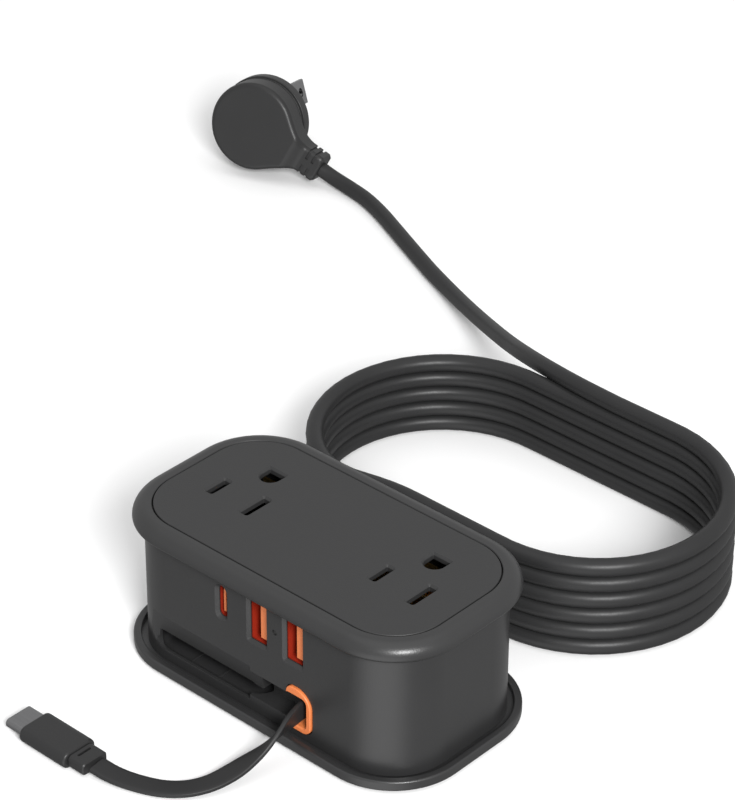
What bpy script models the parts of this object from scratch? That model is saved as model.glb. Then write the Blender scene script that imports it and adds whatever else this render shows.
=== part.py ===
"""Travel power strip: a spool-shaped body with two outlets, three USB ports, a retractable flat
USB-C cable on a spring reel, and a mains cord laid in a racetrack coil with a flat round plug.

Metres, +Z up. The origin is the middle of the footprint, on the surface the strip stands on.
+X runs along the body, the ports face -Y and the mains cord leaves at +Y.
"""

import math

import bmesh
import bpy
from mathutils import Matrix, Vector

# Fits shared by all pieces
FIT = 0.0003
CUT_PAST = 0.002
CORNER_STEPS = 7
ROUND_STEPS = 20
ROUTE_STEPS = 24
SHARP_DEGREES = 35

# Body outline: corner centres, and the corner radius of each level
CORE_X = 0.0302
CORE_Y = 0.0085
WAIST_R = 0.0163
RIM_REACH = 0.0029
BASE_REACH = 0.0037
PANEL_INSET = 0.0023
WALL = 0.0022

# Body heights
HEIGHT = 0.0420
FOOT_STAND = 0.0008
BASE_THICK = 0.0014
LIP_HEIGHT = 0.0014
LIP_WIDTH = 0.0020
LIP_ROUND = 0.0004
PANEL_THICK = 0.0018
PANEL_EDGE = 0.0002
LEDGE_WIDTH = 0.0013
LEDGE_THICK = 0.0015
RIM_FLAT = 0.0012
RIM_WIDE_DROP = 0.0034
RIM_CURL = 0.0012
RIM_CURL_STEPS = 4
RIM_ROUND_STEPS = 6

# Outlets
OUTLET_SPACING = 0.0540
BLADE_SPACING = 0.0127
SLOT_LINE_Y = -0.0026
GROUND_OFFSET = 0.0119
LIVE_SLOT = (0.0020, 0.0066)
NEUTRAL_SLOT = (0.0022, 0.0083)
GROUND_HOLE_R = 0.0026
SLOT_FLARE = 0.0006
SLOT_FLARE_DEPTH = 0.0007

# Front ports
PORT_DROP = 0.0125
USB_C_X = -0.0108
USB_C_OPENING = (0.0026, 0.0088)
USB_A_X = (0.0010, 0.0128)
USB_A_OPENING = (0.0052, 0.0124)
PORT_FLARE = 0.0008
PORT_LAND = 0.0003
PORT_WALL = 0.0008
PORT_DEPTH = 0.0096
PORT_BACK = 0.0010
USB_A_TONGUE = (0.0019, 0.0100)
USB_C_TONGUE = (0.0007, 0.0064)
TONGUE_SHARE_X = 0.0011
LIGHT_R = 0.0006
LIGHT_LENGTH = 0.0040

# Connector pocket and cable mouth in the front wall
POCKET_LEFT = -0.0352
POCKET_RIGHT = 0.0017
POCKET_FLOOR = 0.0044
POCKET_LIP = 0.0054
POCKET_RIDGE = 0.0098
POCKET_TOP = 0.0152
POCKET_SLOPE = 0.0013
POCKET_DEPTH = 0.0114
POCKET_CORNER = 0.0050
POCKET_WALL = 0.0012
SCOOP_LEFT = -0.0452
SCOOP_RIGHT = -0.0021
GROOVE_BOTTOM = 0.0065
GROOVE_TOP = 0.0138
GROOVE_DEPTH = 0.0050
MOUTH_X = 0.0149
MOUTH_Z = 0.0108
MOUTH_SIZE = (0.0080, 0.0122)
MOUTH_ROUND = 0.0028
MOUTH_RING = 0.0012
MOUTH_PROUD = 0.0006
MOUTH_LENGTH = 0.0046
MOUTH_ROUND_STEPS = 4

# Screws, bosses and feet
BOSS_BITE = 0.0004
BOSS_R = 0.0026
BOSS_TOP = 0.0120
SCREW_R = 0.0012
SCREW_HEAD_R = 0.0026
SCREW_HEAD = 0.0005
SCREW_LENGTH = 0.0085
FOOT_R = 0.0042
FOOT_INSET = 0.0032
FOOT_REACH = 0.0100
FOOT_SEAT = 0.0005

# Inside: contacts, boards and components
TRAY_DROP = 0.0175
TRAY_THICK = 0.0015
TRAY_FRONT = -0.0085
BAR_THICK = 0.0008
BAR_HEIGHT = 0.0110
BAR_OVERHANG = 0.0026
PRONG_HALF_GAP = 0.0012
GROUND_HALF_GAP = 0.0022
LIVE_BAR_Y = -0.0074
NEUTRAL_BAR_Y = 0.0024
GROUND_BAR_Y = 0.0132
PRONG_REACH = 0.0084
BOARD_THICK = 0.0016
CHARGER_BOARD = (0.0400, 0.0160)
POWER_BOARD = (0.0330, 0.0250)
POWER_BOARD_AT = (-0.0155, 0.0040)
TRANSFORMER = (0.0160, 0.0140, 0.0145)
TRANSFORMER_AT = (-0.0235, -0.0010)
TRANSFORMER_WAIST = 0.0014
CAPACITOR_R = 0.0050
CAPACITOR_LENGTH = 0.0145
CAPACITOR_AT = (-0.0070, 0.0020)
VARISTOR_R = 0.0050
VARISTOR_THICK = 0.0045
VARISTOR_AT = (-0.0250, 0.0135)

# Spring reel of the flat cable
REEL_AT = (0.0205, 0.0020)
REEL_R = 0.0172
REEL_FLANGE = 0.0008
REEL_HEIGHT = 0.0094
REEL_FLOOR = 0.0042
CORE_R = 0.0070
CORE_WALL = 0.0011
PIN_R = 0.0020
PIN_COLLAR_R = 0.0040
COVER_R = 0.0180
COVER_THICK = 0.0012
WINDING_TURNS = 3.575
WINDING_PITCH = 0.0019
WINDING_GAP = 0.00045
SPRING_TURNS = 4.0
SPRING_PITCH = 0.0007
SPRING_STRIP = 0.0002
SPRING_HEIGHT = 0.0060
SPIRAL_STEPS = 24

# Flat USB-C cable and its connector
CABLE_OFF_REEL = [(-0.0152, -0.0070, 0.0089), (-0.0106, -0.0166, 0.0094)]
CABLE_WIDTH = 0.0056
CABLE_THICK = 0.0014
CABLE_ROUTE = [
    (0.0143, -0.0216, 0.0102), (0.0151, -0.0252, 0.0103), (0.0153, -0.0290, 0.0096), (0.0153, -0.0330, 0.0080),
    (0.0149, -0.0370, 0.0062), (0.0141, -0.0410, 0.0047), (0.0129, -0.0460, 0.0032),
    (0.0109, -0.0514, 0.0020), (0.0076, -0.0560, 0.0013), (0.0030, -0.0597, 0.0011),
    (-0.0032, -0.0625, 0.0012), (-0.0085, -0.0642, 0.0017), (-0.0132, -0.0649, 0.0023),
]
CABLE_TWIST_FROM = 0.26
CABLE_TWIST_TO = 0.58
CONNECTOR_AT = (-0.0135, -0.0649, 0.0023)
RELIEF_SIZE = (0.0050, 0.0080, 0.0034)
GRIP_SIZE = (0.0158, 0.0104, 0.0045)
GRIP_ROUND = 0.0017
TIP_SIZE = (0.0066, 0.0083, 0.0025)
TIP_WALL = 0.0003
TIP_TONGUE = (0.0050, 0.0062, 0.0007)
TIP_SEAT = 0.0008
EDGE_STEPS = 4

# Mains cord: strain relief, racetrack coil and the stretch to the plug
CORD_D = 0.0043
CORD_LIE = 0.00235
COIL_PITCH = 0.00475
COIL_CENTRE = (-0.0044, 0.07765)
COIL_BEND_R = 0.03495
COIL_STRAIGHT = 0.0484
COIL_TURNS = 5
COIL_STATIONS = 24
COIL_START_X = 0.0140
COIL_CLIMB_FROM = -0.0480
COIL_CLIMB_TO = -0.0100
COIL_END_X = 0.0
INLET_AT = (-0.0285, 0.0236, 0.0094)
INLET_TURN = math.radians(33)
INLET_DIP = math.radians(11)
INLET_R = 0.0044
INLET_TIP_R = 0.0031
INLET_LENGTH = 0.0230
INLET_INSIDE = 0.0050
INLET_LEAD = [(-0.0020, 0.0396, 0.0027), (0.0060, 0.0418, 0.00235)]
LEAD_ROUTE = [
    (-0.0130, 0.1134, 0.0259), (-0.0250, 0.1160, 0.0246), (-0.0370, 0.1210, 0.0216),
    (-0.0510, 0.1295, 0.0162), (-0.0660, 0.1390, 0.0108), (-0.0810, 0.1480, 0.0064),
    (-0.0950, 0.1556, 0.0037), (-0.1090, 0.1622, 0.0026), (-0.1220, 0.1683, 0.0024),
    (-0.1350, 0.1744, 0.0024), (-0.1440, 0.1785, 0.0024), (-0.1525, 0.1816, 0.0024),
    (-0.1605, 0.1832, 0.00255),
]
LEAD_STEP = 0.0100

# Plug: lies on its rim, its ground pin and the end of its neck
PLUG_AT = (-0.1969, 0.1839)
PLUG_R = 0.0143
PLUG_LEAN = math.radians(14)
PLUG_HEADING = math.radians(20)
PLUG_DIP = math.radians(25)
PLUG_BASE_THICK = 0.0052
PLUG_SEAM = 0.0040
PLUG_COVER_R = 0.0138
PLUG_THICK = 0.0132
PLUG_BEVEL = 0.0016
PLUG_NECK_END = 0.0250
PLUG_NECK_HALF = 0.0044
PLUG_NECK_FROM = 0.0185
PLUG_NECK_Z = (0.0040, 0.0110)
PLUG_SHOULDER = math.radians(48)
PLUG_GROUND_TURN = math.radians(-45)
PLUG_PATTERN_SHIFT = 0.0045
BLADE_LENGTH = 0.0172
BLADE_THICK = 0.0015
BLADE_WIDTHS = (0.0063, 0.0079)
PIN_LENGTH = 0.0199
GROUND_PIN_R = 0.0024
BLADE_SEAT = 0.0030


def material(name, colour, roughness, metallic=0.0):
    """One Principled material."""
    made = bpy.data.materials.new(name)
    made.use_nodes = True
    shader = made.node_tree.nodes["Principled BSDF"]
    shader.inputs["Base Color"].default_value = (*colour, 1.0)
    shader.inputs["Roughness"].default_value = roughness
    shader.inputs["Metallic"].default_value = metallic
    return made


def place(name, mesh, look, parent=None, helper=False):
    """An object from a bmesh, with its faces turned outwards."""
    mesh.normal_update()
    bmesh.ops.recalc_face_normals(mesh, faces=mesh.faces)
    data = bpy.data.meshes.new(name)
    mesh.to_mesh(data)
    mesh.free()
    made = bpy.data.objects.new(name, data)
    bpy.context.scene.collection.objects.link(made)
    made.parent = parent
    if helper:
        made.hide_render = True
        made.display_type = "WIRE"
        return made
    data.materials.append(look)
    data.shade_smooth()
    data.set_sharp_from_angle(angle=math.radians(SHARP_DEGREES))
    return made


def empty(name, location):
    """A bare frame that carries the pieces parented to it."""
    made = bpy.data.objects.new(name, None)
    bpy.context.scene.collection.objects.link(made)
    made.location = location
    return made


def combine(target, other, operation="DIFFERENCE"):
    """A live Boolean on the target."""
    step = target.modifiers.new(other.name, "BOOLEAN")
    step.operation = operation
    step.object = other


def body_loop(radius, z):
    """The body's rounded outline at one corner radius and height."""
    points = []
    for quarter, (sx, sy) in enumerate(((1, 1), (-1, 1), (-1, -1), (1, -1))):
        for step in range(CORNER_STEPS + 1):
            angle = math.pi / 2 * (quarter + step / CORNER_STEPS)
            x = sx * CORE_X + radius * math.cos(angle)
            y = sy * CORE_Y + radius * math.sin(angle)
            points.append((x, y, z))
    return points


def loft(loops, closed=False):
    """Skins a row of point loops; caps both ends, or joins the last loop to the first."""
    mesh = bmesh.new()
    rings = [[mesh.verts.new(point) for point in loop] for loop in loops]
    pairs = list(zip(rings, rings[1:]))
    if closed:
        pairs.append((rings[-1], rings[0]))
    for low, high in pairs:
        for i in range(len(low)):
            j = (i + 1) % len(low)
            mesh.faces.new((low[i], low[j], high[j], high[i]))
    if not closed:
        mesh.faces.new(rings[0])
        mesh.faces.new(rings[-1])
    return mesh


def block(low, high):
    """A box between two corners."""
    mesh = bmesh.new()
    size = Vector(high) - Vector(low)
    middle = (Vector(high) + Vector(low)) / 2
    bmesh.ops.create_cube(mesh, size=1.0)
    bmesh.ops.scale(mesh, vec=size, verts=mesh.verts)
    bmesh.ops.translate(mesh, vec=middle, verts=mesh.verts)
    return mesh


def rod(radius, low, high, at=(0.0, 0.0), tip=None):
    """A round bar along Z, which may taper to another radius at its top."""
    mesh = bmesh.new()
    bmesh.ops.create_cone(
        mesh, cap_ends=True, segments=ROUND_STEPS, radius1=radius,
        radius2=radius if tip is None else tip, depth=high - low,
    )
    bmesh.ops.translate(mesh, vec=(at[0], at[1], (low + high) / 2), verts=mesh.verts)
    return mesh


def turned(profile, steps=2 * ROUND_STEPS):
    """A ring spun round Z from a closed (radius, z) profile."""
    mesh = bmesh.new()
    points = [mesh.verts.new((radius, 0.0, z)) for radius, z in profile]
    edges = [mesh.edges.new((a, b)) for a, b in zip(points, points[1:] + points[:1])]
    bmesh.ops.spin(
        mesh, geom=points + edges, axis=(0, 0, 1), cent=(0, 0, 0),
        angle=math.tau, steps=steps, use_merge=True,
    )
    bmesh.ops.remove_doubles(mesh, verts=mesh.verts, dist=FIT / 100)
    return mesh


def rectangle(width, length, grow=0.0):
    """Corners of a rectangle grown on all sides."""
    x = width / 2 + grow
    y = length / 2 + grow
    return [(x, -y), (x, y), (-x, y), (-x, -y)]


def rounded(width, length, radius, steps, grow=0.0):
    """A rectangle with round corners, grown on all sides."""
    x = width / 2 - radius
    y = length / 2 - radius
    points = []
    for quarter, (sx, sy) in enumerate(((1, 1), (-1, 1), (-1, -1), (1, -1))):
        for step in range(steps + 1):
            angle = math.pi / 2 * (quarter + step / steps)
            points.append((
                sx * x + (radius + grow) * math.cos(angle),
                sy * y + (radius + grow) * math.sin(angle),
            ))
    return points


def earth_hole(radius, grow=0.0):
    """A round hole with a flat back, grown on all sides."""
    reach = radius + grow
    points = [(reach, reach), (-reach, reach)]
    for step in range(ROUND_STEPS // 2 + 1):
        angle = math.pi + math.pi * step / (ROUND_STEPS // 2)
        points.append((reach * math.cos(angle), reach * math.sin(angle)))
    return points


def at_height(outline, z, centre=(0.0, 0.0)):
    """A flat outline lifted to a height round a centre."""
    return [(x + centre[0], y + centre[1], z) for x, y in outline]


def facing_front(outline, y, centre):
    """A flat outline stood up to face -Y, round an (x, z) centre."""
    return [(x + centre[0], y, z + centre[1]) for x, z in outline]


def facing_side(outline, x, centre):
    """A flat outline stood up to face -X, round a (y, z) centre."""
    return [(x, y + centre[0], z + centre[1]) for y, z in outline]


def smooth_route(points, step):
    """Points at an even step along a smooth curve through the given ones."""
    rows = [Vector(p) for p in points]
    rows = [2 * rows[0] - rows[1], *rows, 2 * rows[-1] - rows[-2]]
    fine = []
    for a, b, c, d in zip(rows, rows[1:], rows[2:], rows[3:]):
        for k in range(ROUTE_STEPS):
            t = k / ROUTE_STEPS
            fine.append(0.5 * (
                2 * b + (c - a) * t + (2 * a - 5 * b + 4 * c - d) * t ** 2
                + (3 * b - a - 3 * c + d) * t ** 3
            ))
    fine.append(rows[-2])
    total = sum((q - p).length for p, q in zip(fine, fine[1:]))
    count = max(2, round(total / step))
    wanted = [total * k / count for k in range(1, count)]
    kept = [fine[0]]
    run = 0.0
    for p, q in zip(fine, fine[1:]):
        length = (q - p).length
        while wanted and wanted[0] <= run + length:
            kept.append(p.lerp(q, (wanted.pop(0) - run) / length))
        run += length
    return kept + [fine[-1]]


def cord(name, points, look, resolution):
    """A round cord along a row of points."""
    data = bpy.data.curves.new(name, "CURVE")
    data.dimensions = "3D"
    data.bevel_depth = CORD_D / 2
    data.bevel_resolution = resolution
    data.use_fill_caps = True
    spline = data.splines.new("POLY")
    spline.points.add(len(points) - 1)
    for target, point in zip(spline.points, points):
        target.co = (*point, 1.0)
    data.materials.append(look)
    made = bpy.data.objects.new(name, data)
    bpy.context.scene.collection.objects.link(made)
    return made


def ribbon(points, across, width, thick):
    """A flat strip along a row of points, its width lying along the given directions."""
    loops = []
    for i, point in enumerate(points):
        ahead = points[min(i + 1, len(points) - 1)] - points[max(i - 1, 0)]
        side = across[i] - across[i].project(ahead)
        side.normalize()
        flat = ahead.cross(side).normalized()
        loops.append([
            point + side * width / 2 * a + flat * thick / 2 * b
            for a, b in ((1, 1), (-1, 1), (-1, -1), (1, -1))
        ])
    return loft(loops)


def spiral(inner, pitch, turns, z, width, thick):
    """A flat strip wound on its edge in a spiral round Z."""
    count = round(turns * SPIRAL_STEPS)
    points = []
    for k in range(count + 1):
        angle = math.tau * k / SPIRAL_STEPS
        radius = inner + pitch * k / SPIRAL_STEPS
        points.append(Vector((radius * math.cos(angle), radius * math.sin(angle), z)))
    return ribbon(points, [Vector((0, 0, 1))] * len(points), width, thick)


# Heights and places that follow from the sizes above
RIM_R = WAIST_R + RIM_REACH
BASE_R = WAIST_R + BASE_REACH
PANEL_R = WAIST_R - PANEL_INSET
PORT_Z = HEIGHT - PORT_DROP
TRAY_Z = HEIGHT - TRAY_DROP
FOOT_X = CORE_X - FOOT_INSET
FOOT_Y = CORE_Y + FOOT_REACH
BASE_BOTTOM = FOOT_STAND
BASE_TOP = BASE_BOTTOM + BASE_THICK
SHELL_BOTTOM = BASE_TOP + FIT
PANEL_BOTTOM = HEIGHT - PANEL_THICK
RIM_WIDE_Z = HEIGHT - RIM_WIDE_DROP
RIM_UNDER_Z = RIM_WIDE_Z - RIM_CURL
INNER_R = WAIST_R - WALL
BOSS_REACH = INNER_R + BOSS_BITE - BOSS_R
FRONT_Y = -(CORE_Y + WAIST_R)
FRONT_INNER_Y = FRONT_Y + WALL
OUTLET_XS = (-OUTLET_SPACING / 2, OUTLET_SPACING / 2)
TRAY_TOP = TRAY_Z + TRAY_THICK


def shell_profile():
    """(corner radius, height) round the body wall: outside up, over the rim, inside down."""
    rim_inner = PANEL_R + FIT
    round_reach = RIM_R - rim_inner - RIM_FLAT
    profile = [(WAIST_R, SHELL_BOTTOM), (WAIST_R, RIM_UNDER_Z)]
    for step in range(RIM_CURL_STEPS + 1):
        angle = math.pi / 2 * (1 - step / RIM_CURL_STEPS)
        reach = RIM_R - RIM_CURL * (1 - math.cos(angle))
        profile.append((reach, RIM_WIDE_Z - RIM_CURL * math.sin(angle)))
    for step in range(1, RIM_ROUND_STEPS + 1):
        angle = math.pi / 2 * step / RIM_ROUND_STEPS
        reach = RIM_R - round_reach * (1 - math.cos(angle))
        profile.append((reach, RIM_WIDE_Z + RIM_WIDE_DROP * math.sin(angle)))
    ledge_top = PANEL_BOTTOM - FIT
    ledge_r = PANEL_R - LEDGE_WIDTH
    profile += [
        (rim_inner, HEIGHT), (rim_inner, ledge_top), (ledge_r, ledge_top),
        (ledge_r, ledge_top - LEDGE_THICK),
        (INNER_R, ledge_top - LEDGE_THICK - (INNER_R - ledge_r)), (INNER_R, SHELL_BOTTOM),
    ]
    return profile


def boss_places():
    """Centres of the four screw bosses."""
    reach = BOSS_REACH / math.sqrt(2)
    return [(sx * (CORE_X + reach), sy * (CORE_Y + reach)) for sx in (-1, 1) for sy in (-1, 1)]


def trimmed(name, mesh, planes):
    """A helper solid cut off and closed at each (point, outward normal) plane."""
    for point, normal in planes:
        parts = mesh.verts[:] + mesh.edges[:] + mesh.faces[:]
        cut = bmesh.ops.bisect_plane(
            mesh, geom=parts, plane_co=point, plane_no=normal, clear_outer=True,
        )
        rim = [part for part in cut["geom_cut"] if isinstance(part, bmesh.types.BMEdge)]
        bmesh.ops.edgeloop_fill(mesh, edges=rim)
    return place(name, mesh, None, helper=True)


def front_backing(name, right, back, low, high):
    """Solid wall behind the front, inside the body's outline, left of and in front of two planes."""
    radius = WAIST_R - WALL / 2
    mesh = loft([body_loop(radius, low), body_loop(radius, high)])
    return trimmed(name, mesh, (((right, 0, 0), (1, 0, 0)), ((0, back, 0), (0, 1, 0))))


def pocket_cutters():
    """The scooped wall, the pocket behind its mouth, and the groove that leads to the cable mouth."""
    outside = WAIST_R + CUT_PAST
    rise = CUT_PAST * (POCKET_TOP - POCKET_RIDGE) / POCKET_SLOPE
    inside = WAIST_R - POCKET_SLOPE
    band = [
        (outside, POCKET_LIP), (inside, POCKET_LIP), (inside, POCKET_RIDGE),
        (outside, POCKET_TOP + rise),
    ]
    yield trimmed("scoop_cutter", loft([body_loop(*level) for level in band], closed=True), (
        ((0, -CORE_Y, 0), (0, 1, 0)),
        ((SCOOP_RIGHT, 0, 0), (1, 0, 0)), ((SCOOP_LEFT, 0, 0), (-1, 0, 0)),
    ))
    back = FRONT_Y + POCKET_DEPTH
    width = POCKET_RIGHT - POCKET_LEFT
    depth = POCKET_DEPTH - POCKET_SLOPE / 2
    centre = ((POCKET_LEFT + POCKET_RIGHT) / 2, back - depth / 2)
    outline = rounded(width, depth, POCKET_CORNER, EDGE_STEPS)
    pocket = loft([
        at_height(outline, POCKET_FLOOR, centre), at_height(outline, POCKET_RIDGE, centre),
    ])
    yield place("pocket_cutter", pocket, None, helper=True)
    groove = block(
        (SCOOP_RIGHT - FIT, FRONT_Y - CUT_PAST, GROOVE_BOTTOM),
        (MOUTH_X, FRONT_Y + GROOVE_DEPTH, GROOVE_TOP),
    )
    yield place("groove_cutter", groove, None, helper=True)


def flared_front(name, outline_of, centre, flare):
    """A cutter through the front wall: chamfered outside, stepped inside for the port's nose."""
    loops = [
        facing_front(outline_of(flare + CUT_PAST), FRONT_Y - CUT_PAST, centre),
        facing_front(outline_of(0.0), FRONT_Y + flare, centre),
        facing_front(outline_of(0.0), FRONT_Y + flare + PORT_LAND, centre),
        facing_front(outline_of(PORT_WALL + FIT), FRONT_Y + flare + PORT_LAND, centre),
        facing_front(outline_of(PORT_WALL + FIT), FRONT_INNER_Y + CUT_PAST, centre),
    ]
    return place(name, loft(loops), None, helper=True)


def usb_a_outline(grow):
    """Outline of a USB-A opening, grown outwards."""
    return rectangle(*USB_A_OPENING, grow)


def usb_c_outline(grow):
    """Outline of a USB-C opening, grown outwards."""
    return rounded(*USB_C_OPENING, USB_C_OPENING[0] / 2 - FIT / 10, EDGE_STEPS, grow)


def inlet_frame():
    """The mains strain relief's own frame: its axis leaves the back wall askew and dips."""
    aim = Vector((
        math.cos(INLET_TURN) * math.cos(INLET_DIP),
        math.sin(INLET_TURN) * math.cos(INLET_DIP),
        -math.sin(INLET_DIP),
    ))
    return Matrix.Translation(INLET_AT) @ aim.to_track_quat("Z", "Y").to_matrix().to_4x4()


def build_shell(look):
    """Body wall with its rim, bosses, pocket, port holes and cord holes."""
    loops = [body_loop(radius, z) for radius, z in shell_profile()]
    shell = place("main_shell", loft(loops, closed=True), look)
    deep = POCKET_DEPTH + POCKET_WALL
    combine(shell, front_backing(
        "pocket_backing", POCKET_RIGHT + POCKET_WALL, FRONT_Y + deep,
        SHELL_BOTTOM + FIT, POCKET_RIDGE + POCKET_WALL,
    ), "UNION")
    combine(shell, front_backing(
        "groove_backing", MOUTH_X - MOUTH_SIZE[0] / 2, FRONT_Y + GROOVE_DEPTH + POCKET_WALL,
        SHELL_BOTTOM + 2 * FIT, GROOVE_TOP + POCKET_WALL,
    ), "UNION")
    for k, at in enumerate(boss_places()):
        boss = rod(BOSS_R, SHELL_BOTTOM + 3 * FIT, BOSS_TOP, at)
        combine(shell, place(f"boss_{k}", boss, None, helper=True), "UNION")
    for k, at in enumerate(boss_places()):
        depth = BASE_BOTTOM + SCREW_HEAD + SCREW_LENGTH + FIT
        hole = rod(SCREW_R + FIT, SHELL_BOTTOM - CUT_PAST, depth, at)
        combine(shell, place(f"boss_hole_{k}", hole, None, helper=True))
    for cutter in pocket_cutters():
        combine(shell, cutter)
    combine(shell, flared_front("usb_c_hole", usb_c_outline, (USB_C_X, PORT_Z), PORT_FLARE))
    for k, x in enumerate(USB_A_X):
        combine(shell, flared_front(f"usb_a_hole_{k}", usb_a_outline, (x, PORT_Z), PORT_FLARE))
    mouth = rounded(*MOUTH_SIZE, MOUTH_ROUND, MOUTH_ROUND_STEPS, FIT)
    hole = loft([
        facing_front(mouth, FRONT_Y - CUT_PAST, (MOUTH_X, MOUTH_Z)),
        facing_front(mouth, FRONT_Y + MOUTH_LENGTH + CUT_PAST, (MOUTH_X, MOUTH_Z)),
    ])
    combine(shell, place("mouth_hole", hole, None, helper=True))
    light = rod(LIGHT_R + FIT, -CUT_PAST - LIGHT_LENGTH, CUT_PAST)
    light.transform(light_frame())
    combine(shell, place("light_hole", light, None, helper=True))
    inlet = rod(INLET_R + FIT, -INLET_INSIDE - CUT_PAST, INLET_LENGTH)
    inlet.transform(inlet_frame())
    combine(shell, place("inlet_hole", inlet, None, helper=True))


def light_frame():
    """The status light's frame: its axis runs out through the front wall."""
    x = sum(USB_A_X) / len(USB_A_X)
    turn = Matrix.Rotation(math.pi / 2, 4, "X")
    return Matrix.Translation((x, FRONT_Y, PORT_Z)) @ turn


def build_panel(look):
    """Flat top with two outlets: a live slot, a wider neutral slot and an earth hole each."""
    panel = place("top_panel", loft([
        body_loop(PANEL_R, PANEL_BOTTOM), body_loop(PANEL_R, HEIGHT - PANEL_EDGE),
        body_loop(PANEL_R - PANEL_EDGE, HEIGHT),
    ]), look)
    for k, x in enumerate(OUTLET_XS):
        half = BLADE_SPACING / 2
        holes = (
            ("live", lambda grow: rectangle(*LIVE_SLOT, grow), (x - half, SLOT_LINE_Y)),
            ("neutral", lambda grow: rectangle(*NEUTRAL_SLOT, grow), (x + half, SLOT_LINE_Y)),
            ("earth", lambda grow: earth_hole(GROUND_HOLE_R, grow), (x, SLOT_LINE_Y + GROUND_OFFSET)),
        )
        for name, outline_of, centre in holes:
            slope = SLOT_FLARE / SLOT_FLARE_DEPTH
            loops = [
                at_height(outline_of(0.0), PANEL_BOTTOM - CUT_PAST, centre),
                at_height(outline_of(0.0), HEIGHT - SLOT_FLARE_DEPTH, centre),
                at_height(outline_of(SLOT_FLARE + FIT * slope), HEIGHT + FIT, centre),
            ]
            combine(panel, place(f"{name}_hole_{k}", loft(loops), None, helper=True))


def build_base(look, screw_look, foot_look):
    """Base plate with its raised lip, the screws that hold it and the feet it stands on."""
    lip_top = BASE_TOP + LIP_HEIGHT
    base = place("base_cover", loft([
        body_loop(BASE_R - LIP_ROUND, BASE_BOTTOM), body_loop(BASE_R, BASE_BOTTOM + LIP_ROUND),
        body_loop(BASE_R, lip_top - LIP_ROUND), body_loop(BASE_R - LIP_ROUND, lip_top),
        body_loop(BASE_R - LIP_WIDTH, lip_top), body_loop(BASE_R - LIP_WIDTH, BASE_TOP),
    ]), look)
    for k, at in enumerate(boss_places()):
        hole = rod(SCREW_R + FIT, BASE_BOTTOM - CUT_PAST, BASE_TOP + CUT_PAST, at)
        combine(base, place(f"screw_hole_{k}", hole, None, helper=True))
        sink = rod(SCREW_HEAD_R + FIT, BASE_BOTTOM - CUT_PAST, BASE_BOTTOM + SCREW_HEAD + FIT, at)
        combine(base, place(f"screw_sink_{k}", sink, None, helper=True))
        screw = turned_solid([
            (SCREW_HEAD_R, BASE_BOTTOM), (SCREW_HEAD_R, BASE_BOTTOM + SCREW_HEAD),
            (SCREW_R, BASE_BOTTOM + SCREW_HEAD),
            (SCREW_R, BASE_BOTTOM + SCREW_HEAD + SCREW_LENGTH),
        ])
        bmesh.ops.translate(screw, vec=(*at, 0.0), verts=screw.verts)
        place(f"base_screw_{k + 1}", screw, screw_look)
    feet = [(sx * FOOT_X, sy * FOOT_Y) for sx in (-1, 1) for sy in (-1, 1)]
    for k, at in enumerate(feet):
        seat = rod(FOOT_R + FIT, BASE_BOTTOM - CUT_PAST, BASE_BOTTOM + FOOT_SEAT + FIT, at)
        combine(base, place(f"foot_seat_{k}", seat, None, helper=True))
        place(f"rubber_foot_{k + 1}", rod(FOOT_R, 0.0, BASE_BOTTOM + FOOT_SEAT, at), foot_look)


def turned_solid(profile):
    """A round solid on Z through (radius, z) points from its bottom face to its top face."""
    loops = []
    for radius, z in profile:
        loops.append([
            (radius * math.cos(math.tau * k / ROUND_STEPS),
             radius * math.sin(math.tau * k / ROUND_STEPS), z)
            for k in range(ROUND_STEPS)
        ])
    return loft(loops)


def build_grommet(look):
    """Coloured ring that the flat cable runs through, open on the side of the groove."""
    centre = (MOUTH_X, MOUTH_Z)
    inner = (MOUTH_SIZE[0] - 2 * MOUTH_RING, MOUTH_SIZE[1] - 2 * MOUTH_RING)
    outside = rounded(*MOUTH_SIZE, MOUTH_ROUND, MOUTH_ROUND_STEPS)
    inside = rounded(*inner, MOUTH_ROUND - MOUTH_RING, MOUTH_ROUND_STEPS)
    front = FRONT_Y - MOUTH_PROUD
    back = FRONT_Y + MOUTH_LENGTH
    loops = [
        facing_front(outside, back, centre), facing_front(outside, front, centre),
        facing_front(inside, front, centre), facing_front(inside, back, centre),
    ]
    ring = place("cable_grommet", loft(loops, closed=True), look)
    gap = block(
        (MOUTH_X - MOUTH_SIZE[0], front - CUT_PAST, GROOVE_BOTTOM + MOUTH_RING),
        (MOUTH_X - inner[0] / 2 + FIT, back + CUT_PAST, GROOVE_TOP),
    )
    combine(ring, place("mouth_gap", gap, None, helper=True))


def build_port(name, outline_of, tongue_size, x, shell_look, tongue_look, shift):
    """A socket cup set into a front opening, and the tongue inside it."""
    centre = (x, PORT_Z)
    front = FRONT_Y + PORT_FLARE + PORT_LAND + FIT
    inner_back = FRONT_INNER_Y + FIT + PORT_DEPTH
    outer = place(name, loft([
        facing_front(outline_of(PORT_WALL), front, centre),
        facing_front(outline_of(PORT_WALL), inner_back + PORT_BACK, centre),
    ]), shell_look)
    hollow = loft([
        facing_front(outline_of(0.0), front - CUT_PAST, centre),
        facing_front(outline_of(0.0), inner_back, centre),
    ])
    combine(outer, place(f"{name}_hollow", hollow, None, helper=True))
    half_x = tongue_size[0] / 2
    half_z = tongue_size[1] / 2
    tongue = block(
        (x + shift - half_x, front, PORT_Z - half_z),
        (x + shift + half_x, inner_back - FIT, PORT_Z + half_z),
    )
    place(f"{name}_tongue", tongue, tongue_look)


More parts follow.
